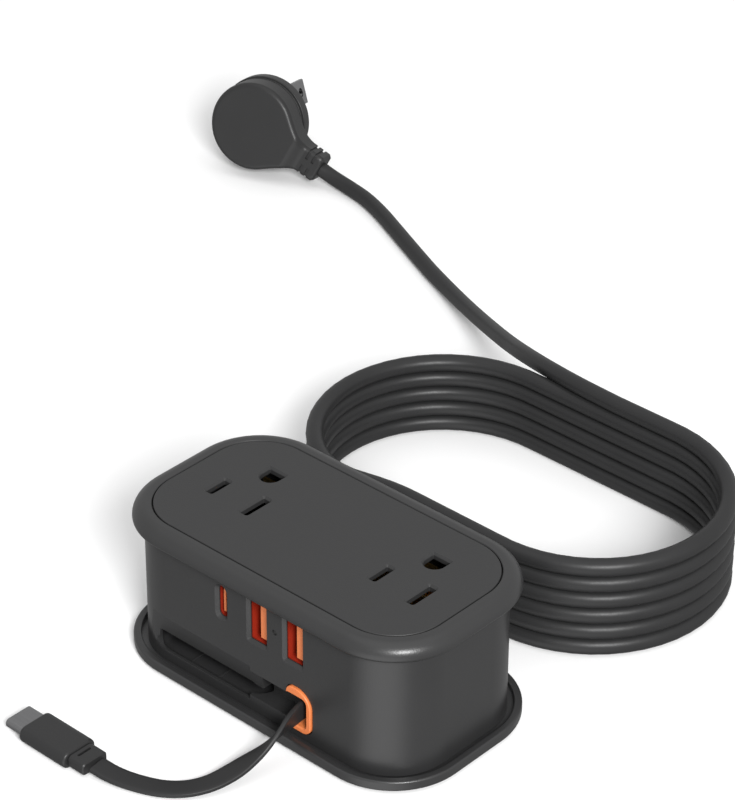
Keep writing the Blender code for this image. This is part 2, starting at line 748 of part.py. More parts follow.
def bar_outline(y_bar, y_tip, slots, half_gap):
    """Plan of a contact bar: a straight strip with a pair of prongs at each slot."""
    side = 1 if y_tip > y_bar else -1
    low = min(slots) - half_gap - BAR_THICK - BAR_OVERHANG
    high = max(slots) + half_gap + BAR_THICK + BAR_OVERHANG
    face = y_bar + side * BAR_THICK
    points = [(low, y_bar), (low, face)]
    for x in sorted(slots):
        for edge in (x - half_gap - BAR_THICK, x + half_gap):
            points += [(edge, face), (edge, y_tip), (edge + BAR_THICK, y_tip), (edge + BAR_THICK, face)]
    return points + [(high, face), (high, y_bar)]


def build_contacts(look, tray_look):
    """Contact tray and the live, neutral and earth bars that stand on it under the outlets."""
    tray = loft([body_loop(INNER_R - FIT, TRAY_Z), body_loop(INNER_R - FIT, TRAY_TOP)])
    parts = tray.verts[:] + tray.edges[:] + tray.faces[:]
    cut = bmesh.ops.bisect_plane(
        tray, geom=parts, plane_co=(0, TRAY_FRONT, 0), plane_no=(0, -1, 0), clear_outer=True,
    )
    rim = [part for part in cut["geom_cut"] if isinstance(part, bmesh.types.BMEdge)]
    bmesh.ops.edgeloop_fill(tray, edges=rim)
    place("contact_tray", tray, tray_look)
    half = BLADE_SPACING / 2
    earth_y = SLOT_LINE_Y + GROUND_OFFSET
    bars = (
        ("live_contact_bar", LIVE_BAR_Y, LIVE_BAR_Y + PRONG_REACH, -half, PRONG_HALF_GAP),
        ("neutral_contact_bar", NEUTRAL_BAR_Y, NEUTRAL_BAR_Y - PRONG_REACH, half, PRONG_HALF_GAP),
        ("earth_contact_bar", GROUND_BAR_Y, 2 * earth_y - GROUND_BAR_Y, 0.0, GROUND_HALF_GAP),
    )
    low = TRAY_TOP + FIT
    for name, y_bar, y_tip, shift, half_gap in bars:
        plan = bar_outline(y_bar, y_tip, [x + shift for x in OUTLET_XS], half_gap)
        place(name, loft([at_height(plan, low), at_height(plan, low + BAR_HEIGHT)]), look)


def build_electronics(board_look, part_look, can_look, disc_look):
    """Charger board behind the ports, and the power board with its parts on the base."""
    port_back = FRONT_INNER_Y + FIT + PORT_DEPTH + PORT_BACK
    middle = (USB_C_X + USB_A_X[-1]) / 2
    half = CHARGER_BOARD[0] / 2
    place("charger_board", block(
        (middle - half, port_back + FIT, PORT_Z - CHARGER_BOARD[1] / 2),
        (middle + half, port_back + FIT + BOARD_THICK, PORT_Z + CHARGER_BOARD[1] / 2),
    ), board_look)
    x, y = POWER_BOARD_AT
    low = BASE_TOP + FIT
    top = low + BOARD_THICK
    place("power_board", block(
        (x - POWER_BOARD[0] / 2, y - POWER_BOARD[1] / 2, low),
        (x + POWER_BOARD[0] / 2, y + POWER_BOARD[1] / 2, top),
    ), board_look)
    seat = top + FIT
    x, y = TRANSFORMER_AT
    wide, deep, tall = TRANSFORMER
    waist = TRANSFORMER_WAIST
    third = tall / 3
    place("transformer", loft([
        at_height(rectangle(wide, deep, grow), seat + z, (x, y))
        for grow, z in ((0, 0), (0, third), (-waist, third), (-waist, 2 * third), (0, 2 * third), (0, tall))
    ]), part_look)
    can = rod(CAPACITOR_R, seat, seat + CAPACITOR_LENGTH, CAPACITOR_AT)
    place("filter_capacitor", can, can_look)
    disc = rod(VARISTOR_R, -VARISTOR_THICK / 2, VARISTOR_THICK / 2)
    bmesh.ops.rotate(disc, matrix=Matrix.Rotation(math.pi / 2, 3, "X"), verts=disc.verts)
    bmesh.ops.translate(disc, vec=(*VARISTOR_AT, seat + VARISTOR_R), verts=disc.verts)
    place("surge_varistor", disc, disc_look)


def build_reel(look, steel_look, cable_look):
    """Spring reel of the flat cable: drum and winding turn together on a fixed pin."""
    axis = empty("reel_axis", (*REEL_AT, 0.0))
    low = REEL_FLOOR
    high = REEL_FLOOR + REEL_HEIGHT
    floor = low + REEL_FLANGE + FIT
    drum = turned([
        (PIN_R + FIT, low), (REEL_R, low), (REEL_R, low + REEL_FLANGE), (CORE_R, low + REEL_FLANGE),
        (CORE_R, high - REEL_FLANGE), (REEL_R, high - REEL_FLANGE), (REEL_R, high),
        (CORE_R - CORE_WALL, high), (CORE_R - CORE_WALL, floor), (PIN_R + FIT, floor),
    ])
    place("reel_drum", drum, look, parent=axis)
    middle = (low + high) / 2
    wound = spiral(CORE_R + CABLE_THICK / 2 + FIT, WINDING_PITCH, WINDING_TURNS, middle,
                   CABLE_WIDTH, WINDING_PITCH - WINDING_GAP)
    place("reel_winding", wound, cable_look, parent=axis)
    spring = spiral(PIN_R + 2 * FIT, SPRING_PITCH, SPRING_TURNS, middle, SPRING_HEIGHT, SPRING_STRIP)
    place("reel_spring", spring, steel_look, parent=axis)
    cover_low = high + FIT
    pin = turned_solid([
        (PIN_COLLAR_R, BASE_TOP + FIT), (PIN_COLLAR_R, low - FIT), (PIN_R, low - FIT),
        (PIN_R, cover_low + COVER_THICK),
    ])
    place("reel_pin", pin, steel_look, parent=axis)
    cover = turned([
        (PIN_R + FIT, cover_low), (COVER_R, cover_low), (COVER_R, cover_low + COVER_THICK),
        (PIN_R + FIT, cover_low + COVER_THICK),
    ])
    place("reel_cover", cover, look, parent=axis)


def build_cable(look, grip_look, tip_look, tongue_look):
    """Flat cable from the reel through its mouth to the floor, and the connector on its end."""
    off_reel = [Vector(step) + Vector((*REEL_AT, 0.0)) for step in CABLE_OFF_REEL]
    route = smooth_route([*off_reel, *CABLE_ROUTE], CABLE_WIDTH / 3)
    across = []
    for k in range(len(route)):
        share = (k / (len(route) - 1) - CABLE_TWIST_FROM) / (CABLE_TWIST_TO - CABLE_TWIST_FROM)
        share = min(max(share, 0.0), 1.0)
        turn = math.pi / 2 * share * share * (3 - 2 * share)
        ahead = route[min(k + 1, len(route) - 1)] - route[max(k - 1, 0)]
        flat = ahead.cross(Vector((0, 0, 1))).normalized()
        across.append(Vector((0, 0, 1)) * math.cos(turn) - flat * math.sin(turn))
    place("usb_cable", ribbon(route, across, CABLE_WIDTH, CABLE_THICK), look)
    x, y, z = CONNECTOR_AT
    x -= FIT
    length, width, thick = RELIEF_SIZE
    plan = rounded(width, thick, thick / 2 - FIT, EDGE_STEPS)
    slim = rounded(width, thick, thick / 2 - FIT, EDGE_STEPS, -FIT)
    place("connector_relief", loft([
        facing_side(slim, x, (y, z)), facing_side(plan, x - FIT, (y, z)),
        facing_side(plan, x - length, (y, z)),
    ]), grip_look)
    x -= length + FIT
    length, width, thick = GRIP_SIZE
    plan = rounded(width, thick, GRIP_ROUND, EDGE_STEPS)
    slim = rounded(width, thick, GRIP_ROUND, EDGE_STEPS, -2 * FIT)
    grip = place("connector_grip", loft([
        facing_side(slim, x, (y, z)), facing_side(plan, x - 2 * FIT, (y, z)),
        facing_side(plan, x - length + 2 * FIT, (y, z)), facing_side(slim, x - length, (y, z)),
    ]), grip_look)
    x -= length
    length, width, thick = TIP_SIZE
    seat = rounded(width, thick, thick / 2 - TIP_WALL / 3, EDGE_STEPS, FIT)
    combine(grip, place("tip_seat", loft([
        facing_side(seat, x + TIP_SEAT + FIT, (y, z)), facing_side(seat, x - CUT_PAST, (y, z)),
    ]), None, helper=True))
    outer = rounded(width, thick, thick / 2 - TIP_WALL / 3, EDGE_STEPS)
    inner = rounded(width, thick, thick / 2 - TIP_WALL / 3, EDGE_STEPS, -TIP_WALL)
    root = x + TIP_SEAT
    tip = root - length
    place("connector_tip", loft([
        facing_side(outer, root, (y, z)), facing_side(outer, tip, (y, z)),
        facing_side(inner, tip, (y, z)), facing_side(inner, root - TIP_SEAT, (y, z)),
    ]), tip_look)
    long, wide, thin = TIP_TONGUE
    back = root - TIP_SEAT - FIT
    place("connector_tongue", block(
        (back - long, y - wide / 2, z - thin / 2), (back, y + wide / 2, z + thin / 2),
    ), tongue_look)


def coil_point(run):
    """A point of the mains coil at a share of turns from its start: rising only behind the body."""
    turn = math.floor(run)
    bend = math.pi * COIL_BEND_R
    first = COIL_CENTRE[0] + COIL_STRAIGHT / 2 - COIL_START_X
    s = (run - turn) * (2 * COIL_STRAIGHT + 2 * bend) - first
    x, y = COIL_CENTRE
    left = x - COIL_STRAIGHT / 2
    right = x + COIL_STRAIGHT / 2
    level = turn
    if s < 0:
        place_at = (right + s, y - COIL_BEND_R)
    elif s < bend:
        angle = s / COIL_BEND_R - math.pi / 2
        place_at = (right + COIL_BEND_R * math.cos(angle), y + COIL_BEND_R * math.sin(angle))
    elif s < bend + COIL_STRAIGHT:
        place_at = (right - (s - bend), y + COIL_BEND_R)
    elif s < 2 * bend + COIL_STRAIGHT:
        angle = (s - bend - COIL_STRAIGHT) / COIL_BEND_R + math.pi / 2
        place_at = (left + COIL_BEND_R * math.cos(angle), y + COIL_BEND_R * math.sin(angle))
    else:
        place_at = (left + s - 2 * bend - COIL_STRAIGHT, y - COIL_BEND_R)
    if s > bend + COIL_STRAIGHT:
        share = (place_at[0] - COIL_CLIMB_FROM) / (COIL_CLIMB_TO - COIL_CLIMB_FROM)
        share = min(max(share, 0.0), 1.0) if place_at[1] < y else 0.0
        level += share * share * (3 - 2 * share)
    return Vector((*place_at, CORD_LIE + COIL_PITCH * level))


def coil_route():
    """The cord from the strain relief through its turns, to where it leaves the top of the coil."""
    frame = inlet_frame()
    route = [frame @ Vector((0, 0, INLET_LENGTH + FIT)), frame @ Vector((0, 0, INLET_LENGTH + CORD_D))]
    route += [Vector(point) for point in INLET_LEAD]
    around = 2 * COIL_STRAIGHT + math.tau * COIL_BEND_R
    first = COIL_CENTRE[0] + COIL_STRAIGHT / 2 - COIL_START_X
    last = first + math.pi * COIL_BEND_R + COIL_CENTRE[0] + COIL_STRAIGHT / 2 - COIL_END_X
    runs = [k / COIL_STATIONS for k in range(COIL_TURNS * COIL_STATIONS + 1)]
    stop = COIL_TURNS + last / around
    while runs[-1] + 1.5 / COIL_STATIONS < stop:
        runs.append(runs[-1] + 1 / COIL_STATIONS)
    return route + [coil_point(run) for run in runs] + [coil_point(stop)]


def least_gap(points):
    """The least clear distance between turns of one cord, from points along its middle line."""
    fine = []
    for a, b in zip(points, points[1:]):
        steps = max(1, round((b - a).length / CORD_D * 2))
        fine += [a.lerp(b, k / steps) for k in range(steps)]
    away = round(COIL_BEND_R * 2 / CORD_D)
    least = min(
        (p - q).length for i, p in enumerate(fine) for q in fine[i + away:]
    )
    return least - CORD_D


def plug_turn():
    """How the plug lies: turned on the floor, leaning back on its pin, its neck dipping."""
    return (
        Matrix.Rotation(PLUG_HEADING, 3, "Z") @ Matrix.Rotation(math.pi / 2 - PLUG_LEAN, 3, "X")
        @ Matrix.Rotation(-PLUG_DIP, 3, "Z")
    )


def plug_frame():
    """The plug's own frame: face along +Z, neck along +X, lying on its rim, pin and neck."""
    made = empty("plug_pose", (*PLUG_AT, PLUG_R * math.cos(PLUG_LEAN)))
    made.rotation_mode = "QUATERNION"
    made.rotation_quaternion = plug_turn().to_quaternion()
    return made


def neck_tip(reach):
    """A point on the neck's axis, in world space."""
    start = Vector((*PLUG_AT, PLUG_R * math.cos(PLUG_LEAN)))
    return start + plug_turn() @ Vector((reach, 0.0, sum(PLUG_NECK_Z) / 2))


def build_mains(look, relief_look):
    """Strain relief, coil, and the stretch that comes down to the floor and runs to the plug."""
    relief = rod(INLET_R, -INLET_INSIDE, INLET_LENGTH, tip=INLET_TIP_R)
    relief.transform(inlet_frame())
    place("mains_cord_relief", relief, relief_look)
    route = coil_route()
    cord("mains_cord_coil", route, look, 1)
    print(f"least gap between turns of the coil: {1000 * least_gap(route):.2f} mm")
    ahead = (route[-1] - route[-2]).normalized()
    start = route[-1] + ahead * FIT
    end = neck_tip(PLUG_NECK_END + FIT)
    points = [start + ahead * CORD_D, *LEAD_ROUTE, neck_tip(PLUG_NECK_END + CORD_D)]
    cord("mains_cord_lead", [start, *smooth_route(points, LEAD_STEP), end], look, 2)


def plug_outline(inset):
    """The cover's outline: a disc that flows by a hollow shoulder into a straight neck."""
    disc = PLUG_COVER_R - inset
    half = PLUG_NECK_HALF - inset
    shoulder = Vector((disc * math.cos(PLUG_SHOULDER), disc * math.sin(PLUG_SHOULDER)))
    upper = []
    for step in range(ROUND_STEPS // 2 + 1):
        angle = PLUG_SHOULDER + (math.pi - PLUG_SHOULDER) * step / (ROUND_STEPS // 2)
        upper.append((disc * math.cos(angle), disc * math.sin(angle)))
    neck = Vector((PLUG_NECK_FROM, half))
    control = Vector((shoulder.x + (shoulder.y - half) * math.tan(PLUG_SHOULDER), half))
    hollow = []
    for step in range(1, EDGE_STEPS):
        t = step / EDGE_STEPS
        point = neck * (1 - t) ** 2 + control * (2 * t * (1 - t)) + shoulder * t ** 2
        hollow.append((point.x, point.y))
    end = PLUG_NECK_END - inset
    top = [(end, half), (PLUG_NECK_FROM, half), *hollow, *upper]
    return top + [(x, -y) for x, y in reversed(top[:-1])]


def plug_level(x, disc_z, neck_z):
    """Height of the cover's face or back at a place along the neck."""
    share = (x - PLUG_R) / (PLUG_NECK_FROM - PLUG_R)
    share = min(max(share, 0.0), 1.0)
    return disc_z + (neck_z - disc_z) * share


def build_plug(look, metal_look):
    """Flat round plug: base disc, cover with its neck, two blades and the round earth pin."""
    frame = plug_frame()
    base = place("plug_base", turned_solid([
        (PLUG_R, 0.0), (PLUG_R, PLUG_SEAM), (PLUG_COVER_R, PLUG_SEAM + FIT),
        (PLUG_COVER_R, PLUG_BASE_THICK),
    ]), look, parent=frame)
    back = PLUG_BASE_THICK + FIT
    low, high = PLUG_NECK_Z
    levels = (
        (0.0, back, low), (0.0, PLUG_THICK - PLUG_BEVEL, high - PLUG_BEVEL),
        (PLUG_BEVEL, PLUG_THICK, high),
    )
    loops = [
        [(x, y, plug_level(x, disc_z, neck_z)) for x, y in plug_outline(inset)]
        for inset, disc_z, neck_z in levels
    ]
    place("plug_cover", loft(loops), look, parent=frame)
    turn = Matrix.Rotation(PLUG_GROUND_TURN, 3, "Z")
    half = BLADE_SPACING / 2
    for name, width, side in (("live", BLADE_WIDTHS[0], -1), ("neutral", BLADE_WIDTHS[1], 1)):
        centre = turn @ Vector((-PLUG_PATTERN_SHIFT, side * half, 0.0))
        for grow, bottom, kind in ((FIT, -CUT_PAST, "slot"), (0.0, -BLADE_LENGTH, "blade")):
            top = BLADE_SEAT + grow
            outline = [turn @ Vector((x, y, 0.0)) for x, y in rectangle(width, BLADE_THICK, grow)]
            loops = [[p + centre + Vector((0, 0, z)) for p in outline] for z in (bottom, top)]
            helper = kind == "slot"
            made = place(f"plug_{name}_{kind}", loft(loops), metal_look, frame, helper)
            if helper:
                combine(base, made)
    centre = turn @ Vector((GROUND_OFFSET - PLUG_PATTERN_SHIFT, 0.0, 0.0))
    hole = rod(GROUND_PIN_R + FIT, -CUT_PAST, BLADE_SEAT + FIT, centre)
    combine(base, place("plug_earth_hole", hole, None, frame, True))
    pin = rod(GROUND_PIN_R, -PIN_LENGTH, BLADE_SEAT, centre)
    place("plug_earth_pin", pin, metal_look, frame)


def main():
    for old in list(bpy.data.objects):
        bpy.data.objects.remove(old)
    charcoal = material("charcoal plastic", (0.066, 0.066, 0.067), 0.42)
    panel_grey = material("panel plastic", (0.070, 0.070, 0.071), 0.48)
    jacket = material("cord jacket", (0.055, 0.055, 0.056), 0.40)
    orange = material("orange plastic", (0.80, 0.22, 0.07), 0.45)
    pale_orange = material("tongue plastic", (0.80, 0.28, 0.12), 0.45)
    red = material("port red", (0.28, 0.02, 0.008), 0.45)
    steel = material("plated steel", (0.62, 0.62, 0.64), 0.25, 1.0)
    brass = material("contact brass", (0.70, 0.50, 0.20), 0.35, 1.0)
    board = material("circuit board", (0.02, 0.14, 0.05), 0.50)
    rubber = material("foot rubber", (0.03, 0.03, 0.03), 0.80)
    winding = material("transformer tape", (0.75, 0.55, 0.12), 0.55)
    can = material("capacitor sleeve", (0.04, 0.05, 0.12), 0.40)
    disc = material("varistor coat", (0.03, 0.16, 0.42), 0.45)
    nylon = material("pale nylon", (0.60, 0.58, 0.52), 0.55)

    build_shell(charcoal)
    build_panel(panel_grey)
    build_base(charcoal, steel, rubber)
    build_grommet(orange)
    shift = TONGUE_SHARE_X
    for k, x in enumerate(USB_A_X):
        build_port(f"usb_a_port_{k + 1}", usb_a_outline, USB_A_TONGUE, x, red, pale_orange, shift)
    build_port("usb_c_port", usb_c_outline, USB_C_TONGUE, USB_C_X, red, pale_orange, 0.0)
    light = rod(LIGHT_R, -LIGHT_LENGTH, -FIT)
    light.transform(light_frame())
    place("status_light", light, nylon)
    build_contacts(brass, nylon)
    build_electronics(board, winding, can, disc)
    build_reel(nylon, steel, jacket)
    build_cable(jacket, charcoal, steel, nylon)
    build_mains(jacket, charcoal)
    build_plug(charcoal, steel)


main()
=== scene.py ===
"""Looks of a travel power strip: moulded body, outlets, ports, flat cable, coiled mains cord and plug."""

import math

import bmesh
import bpy
from bpy.props import FloatProperty, FloatVectorProperty, IntProperty, PointerProperty
from mathutils import Matrix, Vector


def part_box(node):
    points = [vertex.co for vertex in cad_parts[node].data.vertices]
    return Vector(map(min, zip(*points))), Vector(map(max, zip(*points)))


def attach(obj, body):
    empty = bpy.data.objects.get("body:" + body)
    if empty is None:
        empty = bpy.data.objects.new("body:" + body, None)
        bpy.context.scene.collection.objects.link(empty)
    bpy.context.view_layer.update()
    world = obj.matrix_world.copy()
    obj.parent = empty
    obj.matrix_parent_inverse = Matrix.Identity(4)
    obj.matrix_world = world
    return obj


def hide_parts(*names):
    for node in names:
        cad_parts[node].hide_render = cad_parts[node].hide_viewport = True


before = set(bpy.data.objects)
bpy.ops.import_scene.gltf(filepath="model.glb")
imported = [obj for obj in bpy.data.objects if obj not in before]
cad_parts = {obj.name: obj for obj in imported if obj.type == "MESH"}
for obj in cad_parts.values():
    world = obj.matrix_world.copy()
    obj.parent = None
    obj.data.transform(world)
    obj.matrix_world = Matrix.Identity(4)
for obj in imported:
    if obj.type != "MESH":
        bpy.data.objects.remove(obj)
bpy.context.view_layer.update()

bl_info = {
    "name": "Travel Power Strip",
    "version": (1, 0, 0),
    "blender": (4, 5, 0),
    "location": "View3D > Sidebar > Power Strip",
    "description": "Builds the finished surfaces of a travel power strip round its solids",
    "category": "Object",
}

STRIP = "strip"

# Camera fitted to the picture: sizes in pixels, place and axes in the frame of the solids.
IMAGE_SIZE = (735, 800)
IMAGE_MIDDLE = (341.4, 393.3)
FOCAL = 3267.3
SENSOR = 36.0
CAMERA_AT = (0.4414, -0.4695, 0.4901)
CAMERA_RIGHT = (0.7328, 0.6804, 0.0)
CAMERA_BACK = (0.5748, -0.6191, 0.5351)

# Lengths from here on are in metres.
FIT = 0.0003  # gap between fitted pieces
PAST = 0.002  # reach of a cutter past a surface
OFF = 0.00003  # keeps the planes of two cutters apart
SLIVER = 0.000002  # points closer than this are joined after a cut
BODY_CORE = (0.0302, 0.0085)
WAIST = 0.0163
RIM = 0.0192
BASE = 0.0200
LIP_WIDTH = 0.0020
PANEL = 0.0140
WALL = 0.0022
FRONT = BODY_CORE[1] + WAIST
HEIGHT = 0.0420
SHELL_LOW = 0.0025
RIM_WIDE_Z = 0.0386
RIM_CURL = 0.0012
RIM_FLAT = 0.0012
PANEL_LOW = 0.0402
BASE_LOW = 0.0008
BASE_TOP = 0.0022
LIP_TOP = 0.0036
SEAT_TOP = BASE_LOW + 0.0008
SCREW_R = 0.0012
SCREW_HOLE_R = 0.0015

OUTLETS = (-0.0270, 0.0270)
SLOT_Y = -0.0026
BLADE_GAP = 0.0127
EARTH_OFFSET = 0.0119
LIVE_SLOT = (0.0020, 0.0066)
NEUTRAL_SLOT = (0.0022, 0.0083)
EARTH_R = 0.0026

PORT_Z = 0.0295
USB_C_X = -0.0108
USB_C = (0.0026, 0.0088)
USB_A_XS = (0.0010, 0.0128)
USB_A = (0.0052, 0.0124)
USB_A_ROUND = 0.0002
PORT_LAND = 0.0003
PORT_WALL = 0.0008
LIGHT_R = 0.0006

POCKET_X = (-0.0352, 0.0017)
POCKET_FLOOR = 0.0044
POCKET_LIP = 0.0053
POCKET_ROUND = 0.0050
RIDGE = 0.0098
BACKING = 0.0012
RIBS = (-0.0235, -0.0140)
POCKET_DEPTH = 0.0114
OPENING = (-0.0335, -0.0015)
OPENING_ROUND = 0.0027
OPENING_DEPTH = 0.0030
SCOOP_TOP = 0.0153
SCOOP_STEP = 0.00022
SCOOP_DEPTH = 0.0013
SCOOP_FADE = (-0.0374, -0.0312)
SCOOP_LOW = 0.0050
SCOOP_RIGHT = 0.0023
GROOVE_Z = (0.0068, 0.0140)
GROOVE_DEPTH = 0.0050
MOUTH_AT = (0.0149, 0.0108)
MOUTH = (0.0080, 0.0122)
MOUTH_ROUNDS = (0.0048, 0.0020, 0.0020, 0.0026)
MOUTH_HOLE = ((0.0106, 0.0174), (0.0062, 0.0147))
MOUTH_HOLE_ROUND = 0.0013
MOUTH_ENDS = (0.0118, 0.0131)
MOUTH_PROUD = 0.0006
MOUTH_LENGTH = 0.0046

INLET_AT = (-0.0285, 0.0236, 0.0094)
INLET_TURN = math.radians(33)
INLET_DIP = math.radians(11)
INLET_R = 0.0044
INLET_TIP_R = 0.0031
INLET_LENGTH = 0.0230
INLET_INSIDE = 0.0050
INLET_LEAD = [(-0.0020, 0.0396, 0.0027), (0.0060, 0.0418, 0.00235)]

CORD_LIE = 0.00235
COIL_PITCH = 0.00475
COIL_CENTRE = (-0.0044, 0.07765)
COIL_BEND = 0.03495
COIL_STRAIGHT = 0.0484
COIL_TURNS = 5
COIL_AROUND = 2 * COIL_STRAIGHT + math.tau * COIL_BEND
COIL_START_X = 0.0140
COIL_FIRST = COIL_CENTRE[0] + COIL_STRAIGHT / 2 - COIL_START_X
COIL_CLIMB = (-0.0480, -0.0100)
COIL_END_X = 0.0
LEAD_ROUTE = [
    (-0.0130, 0.1134, 0.0259), (-0.0250, 0.1160, 0.0246), (-0.0370, 0.1210, 0.0216),
    (-0.0510, 0.1295, 0.0162), (-0.0660, 0.1390, 0.0108), (-0.0810, 0.1480, 0.0064),
    (-0.0950, 0.1556, 0.0037), (-0.1090, 0.1622, 0.0026), (-0.1220, 0.1683, 0.0024),
    (-0.1350, 0.1744, 0.0024), (-0.1440, 0.1785, 0.0024), (-0.1525, 0.1816, 0.0024),
    (-0.1605, 0.1832, 0.00255),
]

PLUG_AT = (-0.1969, 0.1839)
PLUG_HEADING = math.radians(20)
PLUG_R = 0.0143
PLUG_LEAN = math.radians(14)
PLUG_DIP = math.radians(25)
PLUG_SEAM = 0.0040
PLUG_BASE = 0.0052
PLUG_COVER_R = 0.0138
PLUG_THICK = 0.0132
PLUG_BEVEL = 0.0016
NECK_END = 0.0250
NECK_HALF = 0.0044
NECK_FROM = 0.0185
NECK_Z = (0.0040, 0.0110)
SHOULDER = math.radians(48)
EARTH_TURN = math.radians(-45)
PATTERN_SHIFT = 0.0045
BLADES = {"live": (0.0063, -1), "neutral": (0.0079, 1)}
BLADE_LENGTH = 0.0172
BLADE_THICK = 0.0015
EARTH_PIN_R = 0.0024
EARTH_PIN_LENGTH = 0.0199
BLADE_SEAT = 0.0030
BLADE_HOLE_R = 0.0015
NECK_GROOVES = (0.0194, 0.0216)

CABLE_ROUTE = [
    (0.0053, -0.0050, 0.0089), (0.0099, -0.0146, 0.0094),
    (0.0143, -0.0216, 0.0102), (0.0151, -0.0252, 0.0103), (0.0153, -0.0290, 0.0096),
    (0.0153, -0.0330, 0.0080), (0.0149, -0.0370, 0.0062), (0.0141, -0.0410, 0.0047),
    (0.0129, -0.0460, 0.0032), (0.0109, -0.0514, 0.0020), (0.0076, -0.0560, 0.0013),
    (0.0030, -0.0597, 0.0011), (-0.0032, -0.0625, 0.0012), (-0.0085, -0.0642, 0.0017),
    (-0.0132, -0.0649, 0.0023),
]
CABLE_TWIST = (0.26, 0.58)
CONNECTOR_AT = (-0.0138, -0.0649, 0.0023)
RELIEF = (0.0050, 0.0080, 0.0034)
GRIP = (0.0158, 0.0104, 0.0045)
TIP = (0.0066, 0.0083, 0.0025)
TIP_SEAT = 0.0008
RELIEF_SLOT = (0.0042, 0.0007)

# Light of the surroundings: direction, and the strengths between two shares of facing it.
SURROUND = (
    ((0.0, 0.0, 1.0), -1.0, 0.2, 0.30, 0.62),
    ((0.345, -0.775, -0.530), 0.75, 1.0, 0.0, 1.3),
    ((0.0, 0.0, 1.0), 0.75, 1.0, 0.0, 0.6),
)

UPRIGHT = Matrix.Identity(4)
TO_FRONT = Matrix.Rotation(math.pi / 2, 4, "X")
TO_SIDE = Matrix(((0, 0, 1, 0), (1, 0, 0, 0), (0, 1, 0, 0), (0, 0, 0, 1)))

COLOUR = {"subtype": "COLOR", "size": 3, "min": 0.0, "max": 1.0}


class StripBodySettings(bpy.types.PropertyGroup):
    """Smoothness and edge sizes of the moulded body."""

    corner_steps: IntProperty(
        name="Corner Steps", description="Faces round each corner of the body", default=20, min=4, max=48)
    edge_round: FloatProperty(
        name="Edge Round", description="Soft edge left by the mould on cut-outs",
        default=0.00018, min=0.0, unit="LENGTH")
    port_flare: FloatProperty(
        name="Port Chamfer", description="Chamfer round the front ports", default=0.0008, unit="LENGTH")
    slot_flare: FloatProperty(
        name="Slot Chamfer", description="Chamfer round the outlet slots", default=0.0006, unit="LENGTH")


class StripCordSettings(bpy.types.PropertyGroup):
    """Thickness of the mains cord and of the flat cable."""

    mains_diameter: FloatProperty(
        name="Mains Cord", description="Outside diameter of the mains cord", default=0.0047, unit="LENGTH")
    cable_width: FloatProperty(
        name="Flat Cable Width", description="Width of the flat cable", default=0.0056, unit="LENGTH")
    cable_thickness: FloatProperty(
        name="Flat Cable Thickness", description="Thickness of the flat cable", default=0.0014, unit="LENGTH")
    coil_stations: IntProperty(
        name="Coil Stations", description="Points in each turn of the coil", default=72, min=12, max=200)


class StripFinishSettings(bpy.types.PropertyGroup):
    """Colours of the finishes."""

    body: FloatVectorProperty(
        name="Body", description="Moulded charcoal of the body", default=(0.025, 0.025, 0.0254), **COLOUR)
    jacket: FloatVectorProperty(
        name="Jacket", description="Jacket of the cords", default=(0.021, 0.021, 0.0214), **COLOUR)
    accent: FloatVectorProperty(
        name="Accent", description="Orange of the cable mouth", default=(0.68, 0.190, 0.058), **COLOUR)
    tongue: FloatVectorProperty(
        name="Tongue", description="Orange of the port tongues", default=(0.66, 0.188, 0.064), **COLOUR)
    port: FloatVectorProperty(
        name="Port", description="Red inside the ports", default=(0.30, 0.021, 0.008), **COLOUR)
    metal: FloatVectorProperty(
        name="Plating", description="Nickel plating of blades and connector",
        default=(0.26, 0.26, 0.265), **COLOUR)


def feed(tree, node, inputs):
    """Links a node's inputs to sockets, or sets them to values."""
    for name, value in inputs.items():
        if isinstance(value, bpy.types.NodeSocket):
            tree.links.new(value, node.inputs[name])
        else:
            node.inputs[name].default_value = value
    return node


def add_node(tree, kind, inputs, **settings):
    """A new node with its settings and inputs."""
    node = tree.nodes.new(kind)
    for name, value in settings.items():
        setattr(node, name, value)
    return feed(tree, node, inputs)


def math_node(tree, operation, *values):
    """Output of a Math node whose inputs are sockets or numbers."""
    return add_node(tree, "ShaderNodeMath", dict(enumerate(values)), operation=operation).outputs[0]


def vector_node(tree, operation, inputs, output="Vector"):
    """Output of a Vector Math node."""
    return add_node(tree, "ShaderNodeVectorMath", inputs, operation=operation).outputs[output]


def noise(tree, place, scale, detail):
    """A noise texture, and its swing about its middle."""
    inputs = {"Vector": place, "Scale": scale, "Detail": detail}
    texture = add_node(tree, "ShaderNodeTexNoise", inputs).outputs["Fac"]
    return texture, math_node(tree, "SUBTRACT", texture, 0.5)


def open_group(name, values):
    """A new node group with its sockets; gives it, its inputs and the place on a piece."""
    group = bpy.data.node_groups.new(name, "ShaderNodeTree")
    shared = {"Colour": "Color", "Roughness": "Float"}
    for side, sockets in (("INPUT", {**shared, **values}), ("OUTPUT", {**shared, "Height": "Float"})):
        for socket, kind in sockets.items():
            group.interface.new_socket(socket, in_out=side, socket_type=f"NodeSocket{kind}")
    place = add_node(group, "ShaderNodeTexCoord", {}).outputs["Object"]
    return group, add_node(group, "NodeGroupInput", {}).outputs, place


def close_group(group, given, swing, mottle, gloss, spread, height):
    """Feeds a group's output: its colour varies by a swing, its roughness by a gloss."""
    tint = math_node(group, "MULTIPLY_ADD", swing, mottle, 1.0)
    add_node(group, "NodeGroupOutput", {
        "Colour": vector_node(group, "SCALE", {0: given["Colour"], "Scale": tint}),
        "Roughness": math_node(group, "MULTIPLY_ADD", gloss, spread, given["Roughness"]),
        "Height": height,
    })
    return group


